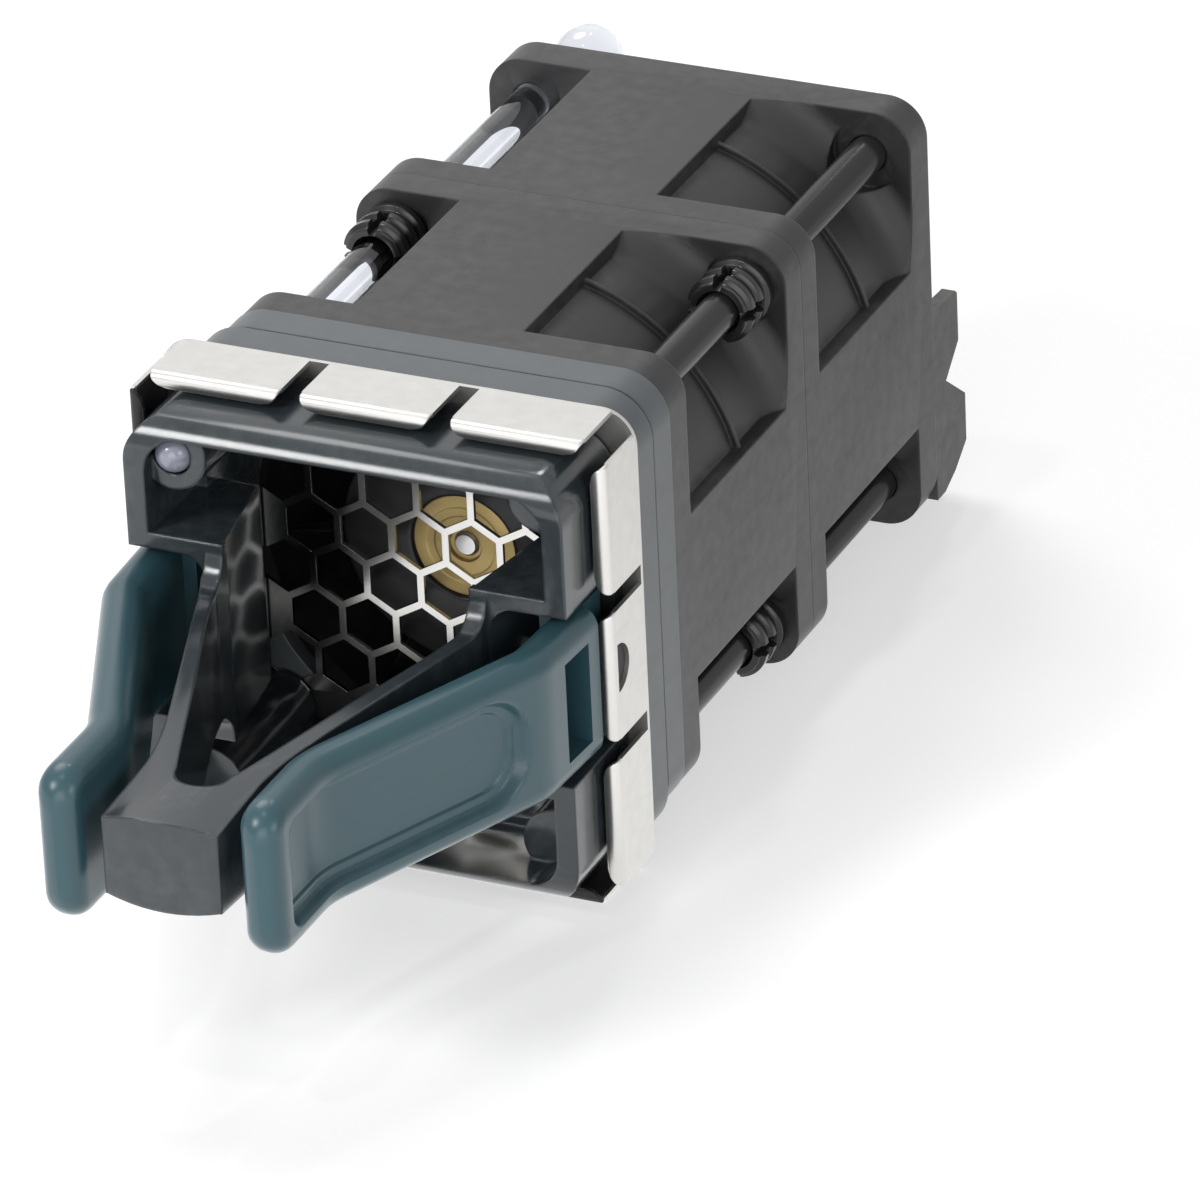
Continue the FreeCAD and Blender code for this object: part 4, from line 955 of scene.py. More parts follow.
@dataclass
class Shield:
    """Folded sheet-metal shield with its honeycomb and curled spring fingers.

    The tip of each finger is a rounded strip that follows a curl: straight, then an arc, then
    straight again. Its width falls off as a quarter circle over the last stretch. Black sheets of
    painted shade line the fingers, the box's walls and the blank margin below the honeycomb, and
    cover the curls of the left and the lower row, where those lie in shadow.
    """

    shop: Workshop
    fold: float = 0.16 * MM
    sheet: float = 0.4 * MM
    half_side: float = 21.5 * MM
    tips_from: float = -19.0 * MM
    root: float = -13.8 * MM
    front: float = -20.0 * MM
    curl: float = 0.5 * MM
    curl_turn: float = 100.0
    lip: float = 0.5 * MM
    tip_round: float = 1.5 * MM
    rim_share: float = 0.42
    shade_film: float = 0.04 * MM
    shade_film_round: float = 0.4
    shade_film_gap: float = 0.005 * MM
    shade_film_inset: float = 0.25 * MM
    shade_film_start: float = 1.0 * MM
    wrapped_from: float = 28.0
    box_half: float = 18.8 * MM
    box_flat: float = 15.9 * MM
    box_rear: float = -6.1 * MM
    panel_front: float = -6.0 * MM
    margin_half: float = 14.4 * MM
    margin_top: float = -14.3 * MM
    margin_base: float = -18.2 * MM
    spans: tuple[tuple[float, float], ...] = ((-19.5 * MM, -7.7 * MM), (-5.9 * MM, 5.9 * MM),
                                              (7.7 * MM, 19.5 * MM))

    def build(self) -> None:
        """Round the folds, curl the fingers' tips and line them with black sheets of painted shade."""
        shown = softened("emi_shield", self.fold, front=self.tips_from)
        tips = [self.turned(self.strip(span, self.sheet, 0.0), quarter)
                for quarter in range(4) for span in self.spans]
        join_into(shown, stacked("finger_tips", *tips))
        self.shop.fit(shown, "emi_shield")
        # Painted shade: black sheets under every finger darken their inner faces, and thicker copies cover
        # the curls of the left and lower rows, which lie in shadow.
        shade_linings = [self.turned(self.shade_lining(span), quarter) for quarter in range(4) for span in self.spans]
        wraps = [self.turned(self.strip(span, self.sheet + 2.0 * self.shade_film, self.wrapped_from), quarter)
                 for quarter in (2, 3) for span in self.spans]
        # Painted shade: black sheets inside the box's walls and over the margin below the honeycomb.
        walls = [self.turned(self.wall_shade_lining(), quarter) for quarter in range(4)]
        margin = self.shade_film_block(
            (-self.margin_half, self.panel_front - 2.0 * self.shade_film, self.margin_base),
            (self.margin_half, self.panel_front - self.shade_film_gap, self.margin_top))
        self.shop.add(stacked("finger_film", *shade_linings, *wraps), "module", "collar", "shade_film")
        self.shop.add(stacked("box_film", *walls, self.turned(margin, 0)), "module", "collar", "shade_film")

    def strip(self, span: tuple[float, float], thick: float, start_turn: float) -> np.ndarray:
        """Rings of one curled tip of the upper row.

        Args:
            span: the finger's two sides across the module.
            thick: thickness of the strip.
            start_turn: angle of the curl at which the strip starts, in degrees; 0 takes in the
                straight stretch too.

        Returns:
            An array (ring, point, 3).
        """
        turns = np.radians(np.linspace(start_turn, self.curl_turn, 14))
        start = self.front + self.sheet / 2 + self.curl
        level = self.half_side - self.sheet / 2
        along = start - self.curl * np.sin(turns)
        out = level - self.curl * (1.0 - np.cos(turns))
        reach = np.linspace(0.0, self.lip, 4)[1:]
        along = np.concatenate((along, along[-1] - reach * np.cos(turns[-1])))
        out = np.concatenate((out, out[-1] - reach * np.sin(turns[-1])))
        turns = np.concatenate((turns, np.full(len(reach), turns[-1])))
        if start_turn == 0.0:
            straight = np.linspace(self.tips_from, start, 4)[:-1]
            along = np.concatenate((straight, along))
            out = np.concatenate((np.full_like(straight, level), out))
            turns = np.concatenate((np.zeros_like(straight), turns))
        steps = np.hypot(np.diff(along), np.diff(out))
        left = np.concatenate((np.cumsum(steps[::-1])[::-1], (0.0,)))
        lost = np.maximum(self.tip_round - left, 0.0)
        half = (span[1] - span[0]) / 2
        narrowed = self.tip_round - np.sqrt(self.tip_round ** 2 - lost ** 2)
        wide = half - narrowed + (thick - self.sheet) / 2
        edge = np.array([(-1.0, -thick / 2), (1.0, -thick / 2), (1.0, thick / 2), (-1.0, thick / 2)])
        section = rounded_outline(edge * (half, 1.0), thick * self.rim_share, 4) / (half, 1.0)
        across = (span[0] + span[1]) / 2 + wide[:, None] * section[None, :, 0]
        rise = section[None, :, 1]
        return np.stack((across, along[:, None] - rise * np.sin(turns)[:, None],
                         out[:, None] + rise * np.cos(turns)[:, None]), axis=-1)

    def shade_lining(self, span: tuple[float, float]) -> np.ndarray:
        """Rings of the painted-shade sheet under one finger of the upper row.

        Args:
            span: the finger's two sides across the module.

        Returns:
            An array (ring, point, 3).
        """
        under = self.half_side - self.sheet
        return self.shade_film_block(
            (span[0] + self.shade_film_inset, self.front + self.shade_film_start, under - 2.0 * self.shade_film),
            (span[1] - self.shade_film_inset, self.root, under - self.shade_film_gap))

    def wall_shade_lining(self) -> np.ndarray:
        """Rings of the painted-shade sheet inside the upper wall of the folded box.

        Returns:
            An array (ring, point, 3).
        """
        under = self.box_half - self.sheet
        return self.shade_film_block((-self.box_flat, self.root, under - 2.0 * self.shade_film),
                               (self.box_flat, self.box_rear, under - self.shade_film_gap))

    def shade_film_block(self, low: Sequence[float], high: Sequence[float]) -> np.ndarray:
        """Rings of a flat painted-shade sheet between its lowest and its highest corner."""
        return rounded_block(np.array(low), np.array(high), self.shade_film * self.shade_film_round)

    def turned(self, rings: np.ndarray, quarter: int) -> np.ndarray:
        """Carry rings of the upper row to the upper, right, lower or left row.

        Args:
            rings: an array (ring, point, 3) about the module's axis.
            quarter: quarter turns clockwise, seen from the front.

        Returns:
            The turned rings at the axis's height.
        """
        cosine, sine = ((1, 0), (0, 1), (-1, 0), (0, -1))[quarter]
        x, y, z = np.moveaxis(rings, -1, 0)
        return np.stack((x * cosine + z * sine, y, z * cosine - x * sine + AXIS_HEIGHT), axis=-1)


@dataclass
class Rods:
    """Three tie rods with rear heads, four ridged collars and the clear light pipe."""

    shop: Workshop
    bar_radius: float = 1.65 * MM
    head_thick: float = 0.8 * MM
    chamfer: float = 0.3 * MM
    recess_reach: float = 1.5 * MM
    recess_half: float = 0.3 * MM
    recess_depth: float = 0.45 * MM
    groove: float = 0.4 * MM
    ridge_count: int = 3
    slit_half: float = 0.4 * MM
    slit_share: float = 0.62
    lens_inset: float = 1.2 * MM
    collar_round: float = 0.25 * MM
    countersink: float = 0.35 * MM
    countersink_depth: float = 0.6 * MM
    slit_floor: float = 0.4 * MM
    frosted_depth: float = 2.4 * MM

    def build(self) -> None:
        """Build every rod, collar and the light pipe."""
        for corner in ("upper_right", "lower_left", "lower_right"):
            self.build_rod(f"tie_rod_{corner}")
        for corner in ("upper_left", "upper_right", "lower_left", "lower_right"):
            self.build_collar(f"rod_collar_{corner}")
        self.build_light_pipe("light_pipe")

    def build_light_pipe(self, node: str) -> None:
        """Turn the clear rod, its frosted domed front end and the ball lens at its rear end.

        The dome and the lens are arcs of circles turned round their own axes; the rod starts
        where the frosted end stops and ends inside the lens.
        """
        low, high = (np.array(corner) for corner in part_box(node))
        lens_radius = (high[2] - low[2]) / 2
        lens_y = high[1] - lens_radius
        axis = (low[0] + lens_radius - self.lens_inset, (low[2] + high[2]) / 2)
        radius, front = self.bar_radius, low[1]
        rise = np.linspace(0.02, np.pi / 2, 14)
        dome = np.stack((radius * np.sin(rise), front + radius * (1 - np.cos(rise))), axis=-1)
        split_y, end = front + self.frosted_depth, lens_y - 0.8 * lens_radius
        cap = np.concatenate((dome, np.array([(radius, split_y), (NEAR_AXIS, split_y)])))
        rod = np.array([(NEAR_AXIS, split_y), (radius, split_y), (radius, end - 0.2 * MM),
                        (radius - 0.2 * MM, end), (NEAR_AXIS, end)])
        turn = np.linspace(0.01, np.pi - 0.01, 41)
        lens = np.stack((lens_radius * np.sin(turn), lens_y - lens_radius * np.cos(turn)), axis=-1)
        lens_axis = (low[0] + lens_radius, axis[1])
        self.shop.fit(stacked(f"{node}_moulded", revolved(rod, axis), revolved(lens, lens_axis, 80)), node)
        self.shop.add(stacked(f"{node}_dome", revolved(cap, axis)), self.shop.bodies[node],
                      self.shop.slots[node], "frosted")

    def build_rod(self, node: str) -> None:
        """Turn a rod: chamfered bar, rounded head, and a cross recess sunk into the head's face.

        The recess is a depth taken off wherever the place lies within half a slot's width of
        either axis and inside the recess's reach.
        """
        seat = Seat.of(node)
        neck = seat.rear - self.head_thick
        bar, head, edge = self.bar_radius, seat.radius, self.chamfer
        profile = np.array([(NEAR_AXIS, seat.front), (bar - edge, seat.front), (bar, seat.front + edge),
                            (bar, neck - edge), (bar + 0.5 * edge, neck), (head - 0.1 * MM, neck),
                            (head, neck + 0.1 * MM), (head, seat.rear - 0.25 * MM),
                            (head - 0.07 * MM, seat.rear - 0.07 * MM), (head - 0.25 * MM, seat.rear)])
        inwards = np.linspace(head - 0.35 * MM, NEAR_AXIS, 26)
        face = np.stack((inwards, np.full_like(inwards, seat.rear)), axis=-1)
        grid = revolved(np.concatenate((profile, face)), seat.centre, 96)
        x, z = np.abs(grid[..., 0] - seat.x), np.abs(grid[..., 2] - seat.z)
        sunk = (np.minimum(x, z) < self.recess_half) & (np.maximum(x, z) < self.recess_reach)
        on_face = np.arange(len(grid)) >= len(profile)
        grid[..., 1] -= self.recess_depth * (sunk & on_face[:, None])
        self.shop.fit(stacked(f"{node}_turned", grid), node)

    def build_collar(self, node: str) -> None:
        """Turn a collar whose radius follows its ridges and falls to the bore in four slits.

        The ridges are a clipped cosine of the place along the rod. A slit is where the angle lies
        within its half width of a quarter turn, over the collar's front share.
        """
        seat = Seat.of(node)
        depth = seat.rear - seat.front
        along = np.linspace(seat.front, seat.rear, 61)
        share = (along - seat.front) / depth
        ridge = np.clip(0.5 - 1.4 * np.cos(2 * np.pi * self.ridge_count * share), 0.0, 1.0)
        outside = seat.radius - self.groove * (1.0 - ridge)
        ends = np.clip(np.minimum(share, 1 - share) * depth / self.collar_round, 0.0, 1.0)
        outside -= self.collar_round * (1.0 - np.sqrt(1.0 - (1.0 - ends) ** 2))
        bore = np.array([(self.bar_radius, seat.rear),
                         (self.bar_radius, seat.front + self.countersink_depth),
                         (self.bar_radius + self.countersink, seat.front)])
        outline = np.concatenate((np.stack((outside, along), axis=-1), bore))
        grid = revolved(outline, seat.centre, 144)
        across = np.stack((grid[..., 0] - seat.x, grid[..., 2] - seat.z), axis=-1)
        radius = np.linalg.norm(across, axis=-1, keepdims=True)
        in_slit = np.min(np.abs(across), axis=-1, keepdims=True) < self.slit_half
        on_outside = (np.arange(len(grid)) < len(along))[:, None, None]
        in_front = grid[..., 1:2] < seat.front + self.slit_share * depth
        lowered = np.where(in_slit & on_outside & in_front, self.bar_radius + self.slit_floor, radius)
        grid[..., [0, 2]] = np.array(seat.centre) + across / radius * np.minimum(lowered, radius)
        self.shop.fit(ring_mesh(f"{node}_turned", grid), node)


@dataclass
class FanUnit:
    """One axial fan: housing, impeller and the whole motor inside its hub."""

    shop: Workshop
    tag: str
    blades: int
    hand: int
    hub_wall: float = 1.0 * MM
    boss_radius: float = 4.7 * MM
    hub_radius: float = 11.2 * MM
    blade_start: float = 2.0 * MM
    blade_depth: float = 15.0 * MM
    root_sweep: float = 7.0 * MM
    tip_sweep: float = 11.5 * MM
    camber: float = 1.3 * MM
    blade_thick: float = 1.1 * MM
    shaft_radius: float = 1.1 * MM
    neck_radius: float = 2.5 * MM
    cup_wall: float = 0.6 * MM
    magnet_thick: float = 1.1 * MM
    running_gap: float = 0.03 * MM
    housing_edge: float = 0.28 * MM
    stamped_edge: float = 0.08 * MM
    coil_edge: float = 0.35 * MM
    tube_wall: float = 0.6 * MM
    hub_face: float = 1.2 * MM
    hub_edge: float = 0.45 * MM
    boss_flange: float = 0.8 * MM
    boss_dish: tuple[float, float] = (0.4 * MM, 0.5 * MM)
    boss_groove: tuple[float, float] = (2.7 * MM, 3.6 * MM)
    groove_depth: float = 0.04 * MM
    groove_flank: float = 0.1 * MM
    bearing_shield: tuple[float, float] = (1.65 * MM, 2.5 * MM)
    shield_sink: float = 0.14 * MM
    clip_groove: float = 0.3 * MM
    shaft_edge: float = 0.2 * MM

    def build(self) -> None:
        """Build the fan from its housing to its motor."""
        tag = self.tag
        self.shop.soften(f"fan_housing_{tag}", self.housing_edge)
        self.build_impeller()
        self.build_boss()
        self.build_cup()
        self.build_ring(f"magnet_ring_{tag}", self.magnet_thick, 0.15 * MM)
        self.build_ring(f"bearing_tube_{tag}", self.tube_wall, 0.1 * MM)
        for place in ("front", "rear"):
            self.build_bearing(f"bearing_{tag}_{place}")
        self.build_shaft()
        self.shop.soften(f"motor_board_{tag}", self.stamped_edge)
        self.shop.soften(f"stator_core_{tag}", self.stamped_edge)
        self.shop.soften(f"stator_coils_{tag}", self.coil_edge)
        self.shop.paint(f"shaft_clip_{tag}")
        self.shop.paint(f"preload_washer_{tag}")

    def blade_rings(self, seat: Seat) -> list[np.ndarray]:
        """Sections of each blade from inside the hub's wall to its tip.

        A section runs once round a thin wing: the half thickness is the square root of the share
        of the chord times what is left of it, and the middle line bows by 4c(1-c) times the
        camber. The chord's slant grows from root to tip, and the flat section is wrapped round
        the axis at its own radius.

        Args:
            seat: where the impeller lies.

        Returns:
            One array (section, point, 3) per blade.
        """
        span = np.linspace(0.0, 1.0, 15)[:, None]
        root = self.hub_radius - self.hub_wall / 2
        radius = root + span * (seat.radius - root)
        loop = np.linspace(0.0, 2.0 * np.pi, 48, endpoint=False)[None, :]
        chord = 0.5 - 0.5 * np.cos(loop)
        side, taper = np.sign(np.sin(loop)), 1.15 - 0.5 * chord
        half = side * self.blade_thick / 2 * 1.9 * np.sqrt(chord * (1.0 - chord)) * taper
        sweep = self.root_sweep + span * (self.tip_sweep - self.root_sweep)
        slant = np.hypot(sweep, self.blade_depth)
        bow = 4.0 * chord * (1.0 - chord) * self.camber
        across = self.hand * (sweep * (chord - 0.5) - bow + half * self.blade_depth / slant)
        start = seat.front + self.blade_start
        along = start + self.blade_depth * chord - half * sweep / slant
        along = np.clip(along, start, start + self.blade_depth)
        return [np.stack((seat.x + radius * np.cos(turn + across / radius), along,
                          seat.z + radius * np.sin(turn + across / radius)), axis=-1)
                for turn in np.arange(self.blades) * 2.0 * np.pi / self.blades]

    def build_impeller(self) -> None:
        """Build the hub cup as a ring and set the twisted blades on it."""
        node = f"impeller_{self.tag}"
        seat = Seat.of(node)
        inner, face = self.hub_radius - self.hub_wall, seat.front + self.hub_face
        outline = rounded_outline(np.array([(self.boss_radius, seat.front), (self.hub_radius, seat.front),
                                            (self.hub_radius, seat.rear), (inner, seat.rear), (inner, face),
                                            (self.boss_radius, face)]), self.hub_edge)
        hub = ring_mesh(f"{node}_hub", revolved(outline, seat.centre, 96))
        blades = stacked(f"{node}_moulded", *self.blade_rings(seat))
        join_into(blades, hub)
        self.shop.fit(blades, node)

    def build_boss(self) -> None:
        """Turn the brass boss with a shallow groove and a dished bore in its face."""
        node = f"rotor_boss_{self.tag}"
        seat = Seat.of(node)
        front, face, step = seat.front, seat.front + self.boss_flange, seat.front + self.boss_dish[1]
        bore, dish = self.shaft_radius, self.shaft_radius + self.boss_dish[0]
        (start, end), flank, groove = self.boss_groove, self.groove_flank, front + self.groove_depth
        outline = rounded_outline(np.array([
            (bore, step), (dish, step), (dish, front), (start, front), (start + flank, groove),
            (end - flank, groove), (end, front), (seat.radius, front), (seat.radius, face),
            (self.neck_radius, face), (self.neck_radius, seat.rear), (bore, seat.rear)]), 0.1 * MM)
        self.shop.fit(ring_mesh(f"{node}_turned", revolved(outline, seat.centre)), node)

    def build_cup(self) -> None:
        """Draw the steel cup with a rounded shoulder."""
        node = f"rotor_cup_{self.tag}"
        seat = Seat.of(node)
        inner, face = seat.radius - self.cup_wall, seat.front + self.cup_wall
        outline = rounded_outline(np.array([(self.neck_radius, seat.front), (seat.radius, seat.front),
                                            (seat.radius, seat.rear), (inner, seat.rear), (inner, face),
                                            (self.neck_radius, face)]), 0.3 * MM)
        self.shop.fit(ring_mesh(f"{node}_drawn", revolved(outline, seat.centre, 96)), node)

    def build_ring(self, node: str, thick: float, edge: float) -> None:
        """Turn a plain ring with rounded edges.

        Args:
            node: the ring's node.
            thick: its wall.
            edge: the rounding.
        """
        seat = Seat.of(node)
        inner = seat.radius - thick
        outline = rounded_outline(np.array([(inner, seat.front), (seat.radius, seat.front),
                                            (seat.radius, seat.rear), (inner, seat.rear)]), edge)
        self.shop.fit(ring_mesh(f"{node}_turned", revolved(outline, seat.centre, 96)), node)

    def build_bearing(self, node: str) -> None:
        """Turn a bearing: outer ring, sunk shield and inner ring on both faces."""
        seat = Seat.of(node)
        bore, sink = self.shaft_radius + self.running_gap, self.shield_sink
        inner, outer = self.bearing_shield
        half = np.array([(bore, seat.front), (inner, seat.front), (inner, seat.front + sink),
                         (outer, seat.front + sink), (outer, seat.front), (seat.radius, seat.front)])
        rear = half[::-1] * np.array((1.0, -1.0)) + np.array((0.0, seat.front + seat.rear))
        outline = rounded_outline(np.concatenate((half, rear)), 0.08 * MM, 3)
        self.shop.fit(ring_mesh(f"{node}_turned", revolved(outline, seat.centre)), node)

    def build_shaft(self) -> None:
        """Turn the shaft with chamfered ends and the groove of its clip."""
        node = f"shaft_{self.tag}"
        seat = Seat.of(node)
        clip = Seat.of(f"shaft_clip_{self.tag}")
        full, low, edge = seat.radius, seat.radius - self.clip_groove, self.shaft_edge
        profile = np.array([(NEAR_AXIS, seat.front), (full - edge, seat.front), (full, seat.front + edge),
                            (full, clip.front), (low, clip.front), (low, clip.rear), (full, clip.rear),
                            (full, seat.rear - edge), (full - edge, seat.rear), (NEAR_AXIS, seat.rear)])
        self.shop.fit(stacked(f"{node}_turned", revolved(profile, seat.centre, 48)), node)


@dataclass
class RearEnd:
    """Corner bracket and the blind-mate connector with its contact blades."""

    shop: Workshop
    contact_width: float = 0.5 * MM
    contact_height: float = 0.7 * MM
    column_pitch: float = 1.5 * MM
    row_pitch: float = 1.15 * MM
    bracket_edge: float = 0.25 * MM
    housing_edge: float = 0.15 * MM
    contact_edge: float = 0.12 * MM

    def build(self) -> None:
        """Round the moulded parts and build each contact blade."""
        self.shop.soften("rear_bracket", self.bracket_edge)
        self.shop.soften("connector_housing", self.housing_edge)
        low, high = (np.array(corner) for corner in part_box("connector_contacts"))
        size = np.array((self.contact_width, high[1] - low[1], self.contact_height))
        corners = [low + np.array((column * self.column_pitch, 0.0, row * self.row_pitch))
                   for column in range(2) for row in range(3)]
        blades = [rounded_block(corner, corner + size, self.contact_edge) for corner in corners]
        self.shop.fit(stacked("connector_contacts_plated", *blades), "connector_contacts")


class Side(Enum):
    """Which lever of the pair."""

    LEFT = -1
    RIGHT = 1


def rounded_path(corners: np.ndarray, radius: float, step: float) -> np.ndarray:
    """Walk a broken line whose corners are rounded by arcs.

    Each corner is replaced by the arc that touches both of its legs; the whole line is then
    sampled at even steps of its length.

    Args:
        corners: an array (corner, 2) in metres.
        radius: radius of the arcs.
        step: distance between samples.

    Returns:
        An array (sample, 2) of points.
    """
    pieces = [corners[:1]]
    for before, corner, after in zip(corners, corners[1:], corners[2:]):
        to_start = (before - corner) / np.linalg.norm(before - corner)
        to_end = (after - corner) / np.linalg.norm(after - corner)
        half = np.arccos(np.clip(to_start @ to_end, -1.0, 1.0)) / 2.0
        reach = radius / np.tan(half)
        middle = corner + (to_start + to_end) / np.linalg.norm(to_start + to_end) * radius / np.sin(half)
        start, end = corner + to_start * reach - middle, corner + to_end * reach - middle
        share = np.linspace(0.0, 1.0, 15)[:, None]
        sweep = np.arccos(np.clip(start @ end / radius ** 2, -1.0, 1.0))
        arc = (np.sin((1 - share) * sweep) * start + np.sin(share * sweep) * end) / np.sin(sweep)
        pieces.append(middle + arc)
    pieces.append(corners[-1:])
    line = np.concatenate(pieces)
    length = np.concatenate(([0.0], np.cumsum(np.linalg.norm(np.diff(line, axis=0), axis=1))))
    places = np.linspace(0.0, length[-1], int(length[-1] / step) + 2)
    return np.stack([np.interp(places, length, line[:, axis]) for axis in range(2)], axis=-1)


def smooth_step(value: np.ndarray) -> np.ndarray:
    """Rise from 0 to 1 as 3t^2 - 2t^3, flat at both ends."""
    share = np.clip(value, 0.0, 1.0)
    return share * share * (3.0 - 2.0 * share)


def quarter_circle(distance: np.ndarray, radius: float) -> np.ndarray:
    """Height of a quarter circle at a distance from its foot: sqrt(r^2 - (r - d)^2), then level."""
    inside = np.clip(distance, 0.0, radius)
    return np.sqrt(np.clip(radius ** 2 - (radius - inside) ** 2, 0.0, None))


@dataclass
class LatchLever:
    """One pinch lever: an S-shaped bar with full round rims, a thumb recess, a window and a slot.

    The skin is a function of the distance along the outer face and of the place round the
    section. Depths of the recess, window and slot are taken off along the face's normal.
    """

    shop: Workshop
    side: Side
    half_height: float = 6.9 * MM
    thickness: float = 3.7 * MM
    rim: float = 1.75 * MM
    bend_radius: float = 7.0 * MM
    tip_radius: float = 3.0 * MM
    shoulder: float = -16.5 * MM
    bend: float = -25.5 * MM
    knee: float = -47.0 * MM
    tip: float = -57.1 * MM
    outer_rear: float = 20.6 * MM
    outer_bend: float = 20.1 * MM
    outer_tip: float = 10.8 * MM
    recess_depth: float = 1.1 * MM
    recess_step: float = 0.3 * MM
    recess_front: float = -54.7 * MM
    recess_rear: float = -27.4 * MM
    recess_half: float = 5.05 * MM
    recess_wall: float = 0.85 * MM
    recess_rounds: tuple[float, float] = (1.8 * MM, 4.2 * MM)
    step_inset: float = 1.3 * MM
    step_wall: float = 0.25 * MM
    window_front: float = -22.4 * MM
    window_rear: float = -18.3 * MM
    window_half: float = 4.5 * MM
    window_depth: float = 3.2 * MM
    slot_place: float = -52.95 * MM
    slot_width: float = 1.9 * MM
    slot_height: float = -1.5 * MM
    slot_half: float = 1.2 * MM
    slot_depth: float = 1.6 * MM
    wall_run: float = 0.03 * MM
    pin_x: float = 17.4 * MM
    pin_y: float = -13.3 * MM
    knuckle: float = 1.8 * MM
    knuckle_foot: float = 0.6 * MM
    pin_dome: float = 0.3 * MM
    spring_thick: float = 0.25 * MM
    flange_y: float = -4.0 * MM

    def build(self) -> None:
        """Make the lever, its hinge pin and its leaf spring."""
        side = self.side.name.lower()
        place = np.array((0.0, self.flange_y, AXIS_HEIGHT))
        way = np.array((self.side.value, 1.0, 1.0))
        skins = [rings * way + place for rings in (self.bar_rings(), self.knuckle_rings())]
        self.shop.fit(stacked(f"latch_lever_{side}_moulded", *skins), f"latch_lever_{side}")
        self.build_pin(f"lever_pin_{side}")
        self.build_spring(f"lever_spring_{side}")

    def build_pin(self, node: str) -> None:
        """Turn the hinge pin with domed ends: the radius falls as a quarter circle over each end.

        Args:
            node: the pin's node.
        """
        low, high = (np.array(corner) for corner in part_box(node))
        radius = (high[0] - low[0]) / 2
        edge = self.pin_dome
        share = np.linspace(0.0, np.pi / 2, 6)[:, None]
        lower = low[2] + edge * (1 - np.sin(share))
        upper = high[2] - edge * (1 - np.sin(share))
        narrow = radius - edge * (1 - np.cos(share))
        heights = np.concatenate((lower[::-1], upper))
        radii = np.concatenate((narrow[::-1], narrow))
        turn = np.linspace(0.0, 2.0 * np.pi, 32, endpoint=False)[None, :]
        middle = (low + high) / 2
        grid = np.stack((middle[0] + radii * np.cos(turn), middle[1] + radii * np.sin(turn),
                         heights + 0.0 * turn), axis=-1)
        self.shop.fit(stacked(f"{node}_turned", grid), node)

    def build_spring(self, node: str) -> None:
        """Bend the leaf spring: a strip of even thickness along an arc between its two feet.

        With the feet's distance 2a and the bow h, the arc's radius is (a^2 + h^2) / 2h.
        """
        low, high = (np.array(corner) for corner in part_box(node))
        half_long = (high[1] - low[1]) / 2
        thick = self.spring_thick
        bow = high[0] - low[0] - thick
        radius = (half_long ** 2 + bow ** 2) / (2.0 * bow)
        reach = np.arcsin(half_long / radius)
        turn = np.linspace(-reach, reach, 41)[:, None]
        section = rounded_outline(np.array([(-thick / 2, low[2]), (thick / 2, low[2]),
                                            (thick / 2, high[2]), (-thick / 2, high[2])]), 0.1 * MM, 4)
        away = radius * (np.cos(turn) - np.cos(reach)) + section[None, :, 0]
        crest = low[0] + thick / 2 if self.side is Side.RIGHT else high[0] - thick / 2
        along = (low[1] + high[1]) / 2 + radius * np.sin(turn)
        grid = np.stack((crest + self.side.value * away, along + 0.0 * away,
                         section[None, :, 1] + 0.0 * away), axis=-1)
        self.shop.fit(stacked(f"{node}_bent", grid), node)

    def section(self) -> tuple[np.ndarray, np.ndarray]:
        """A rounded rectangle: half circles of the rim's radius join two straight sides.

        Returns:
            Offsets from the outer face (inwards) and heights, both in metres.
        """
        flat = self.half_height - self.rim
        heights = np.linspace(-flat, flat, 71)
        quarter = np.linspace(0.0, np.pi / 2, 9)[1:]
        rim_in = self.rim * (1 - np.cos(quarter))
        rim_up = self.rim * np.sin(quarter)
        inner_heights = np.linspace(flat, -flat, 13)
        depth = np.concatenate((np.zeros_like(heights), rim_in, self.thickness - rim_in[::-1],
                                np.full_like(inner_heights, self.thickness),
                                self.thickness - rim_in, rim_in[::-1]))
        height = np.concatenate((heights, flat + rim_up, flat + rim_up[::-1], inner_heights,
                                 -flat - rim_up, -flat - rim_up[::-1]))
        return depth[:-1], height[:-1]

    def edge_places(self, path: np.ndarray) -> np.ndarray:
        """Put a close pair of samples at each end of window and slot, so that their walls stand steep."""
        ends = (self.window_front, self.window_rear, self.slot_place - self.slot_width / 2,
                self.slot_place + self.slot_width / 2)
        extra = np.array([end + side * self.wall_run for side in (-1, 1) for end in ends])
        order = np.argsort(-path[:, 1])
        x = np.interp(-extra, -path[order, 1], path[order, 0])
        joined = np.concatenate((path, np.stack((x, extra), axis=-1)))
        return joined[np.argsort(-joined[:, 1], kind="stable")]

    def bar_rings(self) -> np.ndarray:
        """Rings of the bar from its shoulder to its round tip.

        Returns:
            An array (ring, point, 3) for the right lever.
        """
        corners = np.array([(self.outer_rear, self.shoulder), (self.outer_bend, self.bend),
                            (self.outer_tip, self.knee), (self.outer_tip, self.tip)])
        path = self.edge_places(rounded_path(corners, self.bend_radius, 0.25 * MM))
        ahead = np.gradient(path, axis=0)
        ahead /= np.linalg.norm(ahead, axis=1, keepdims=True)
        inward = np.stack((ahead[:, 1], -ahead[:, 0]), axis=-1)
        depth, height = self.section()
        centre = depth - self.thickness / 2
        from_tip = path[:, 1] - self.tip
        round_off = quarter_circle(from_tip, self.tip_radius)
        tall = (self.half_height - self.tip_radius + round_off) / self.half_height
        thin = quarter_circle(from_tip, self.thickness / 2) / (self.thickness / 2)
        thin = np.maximum(thin, 0.05)
        y_places = path[:, 1][:, None]
        z_places = height[None, :] * tall[:, None]
        cut = self.cuts(y_places, z_places) * (depth == 0)[None, :]
        offset = self.thickness / 2 + centre[None, :] * thin[:, None] + cut
        plan = path[:, None, :] + inward[:, None, :] * offset[:, :, None]
        return np.concatenate((plan, z_places[:, :, None] + np.zeros_like(offset)[:, :, None]), axis=-1)

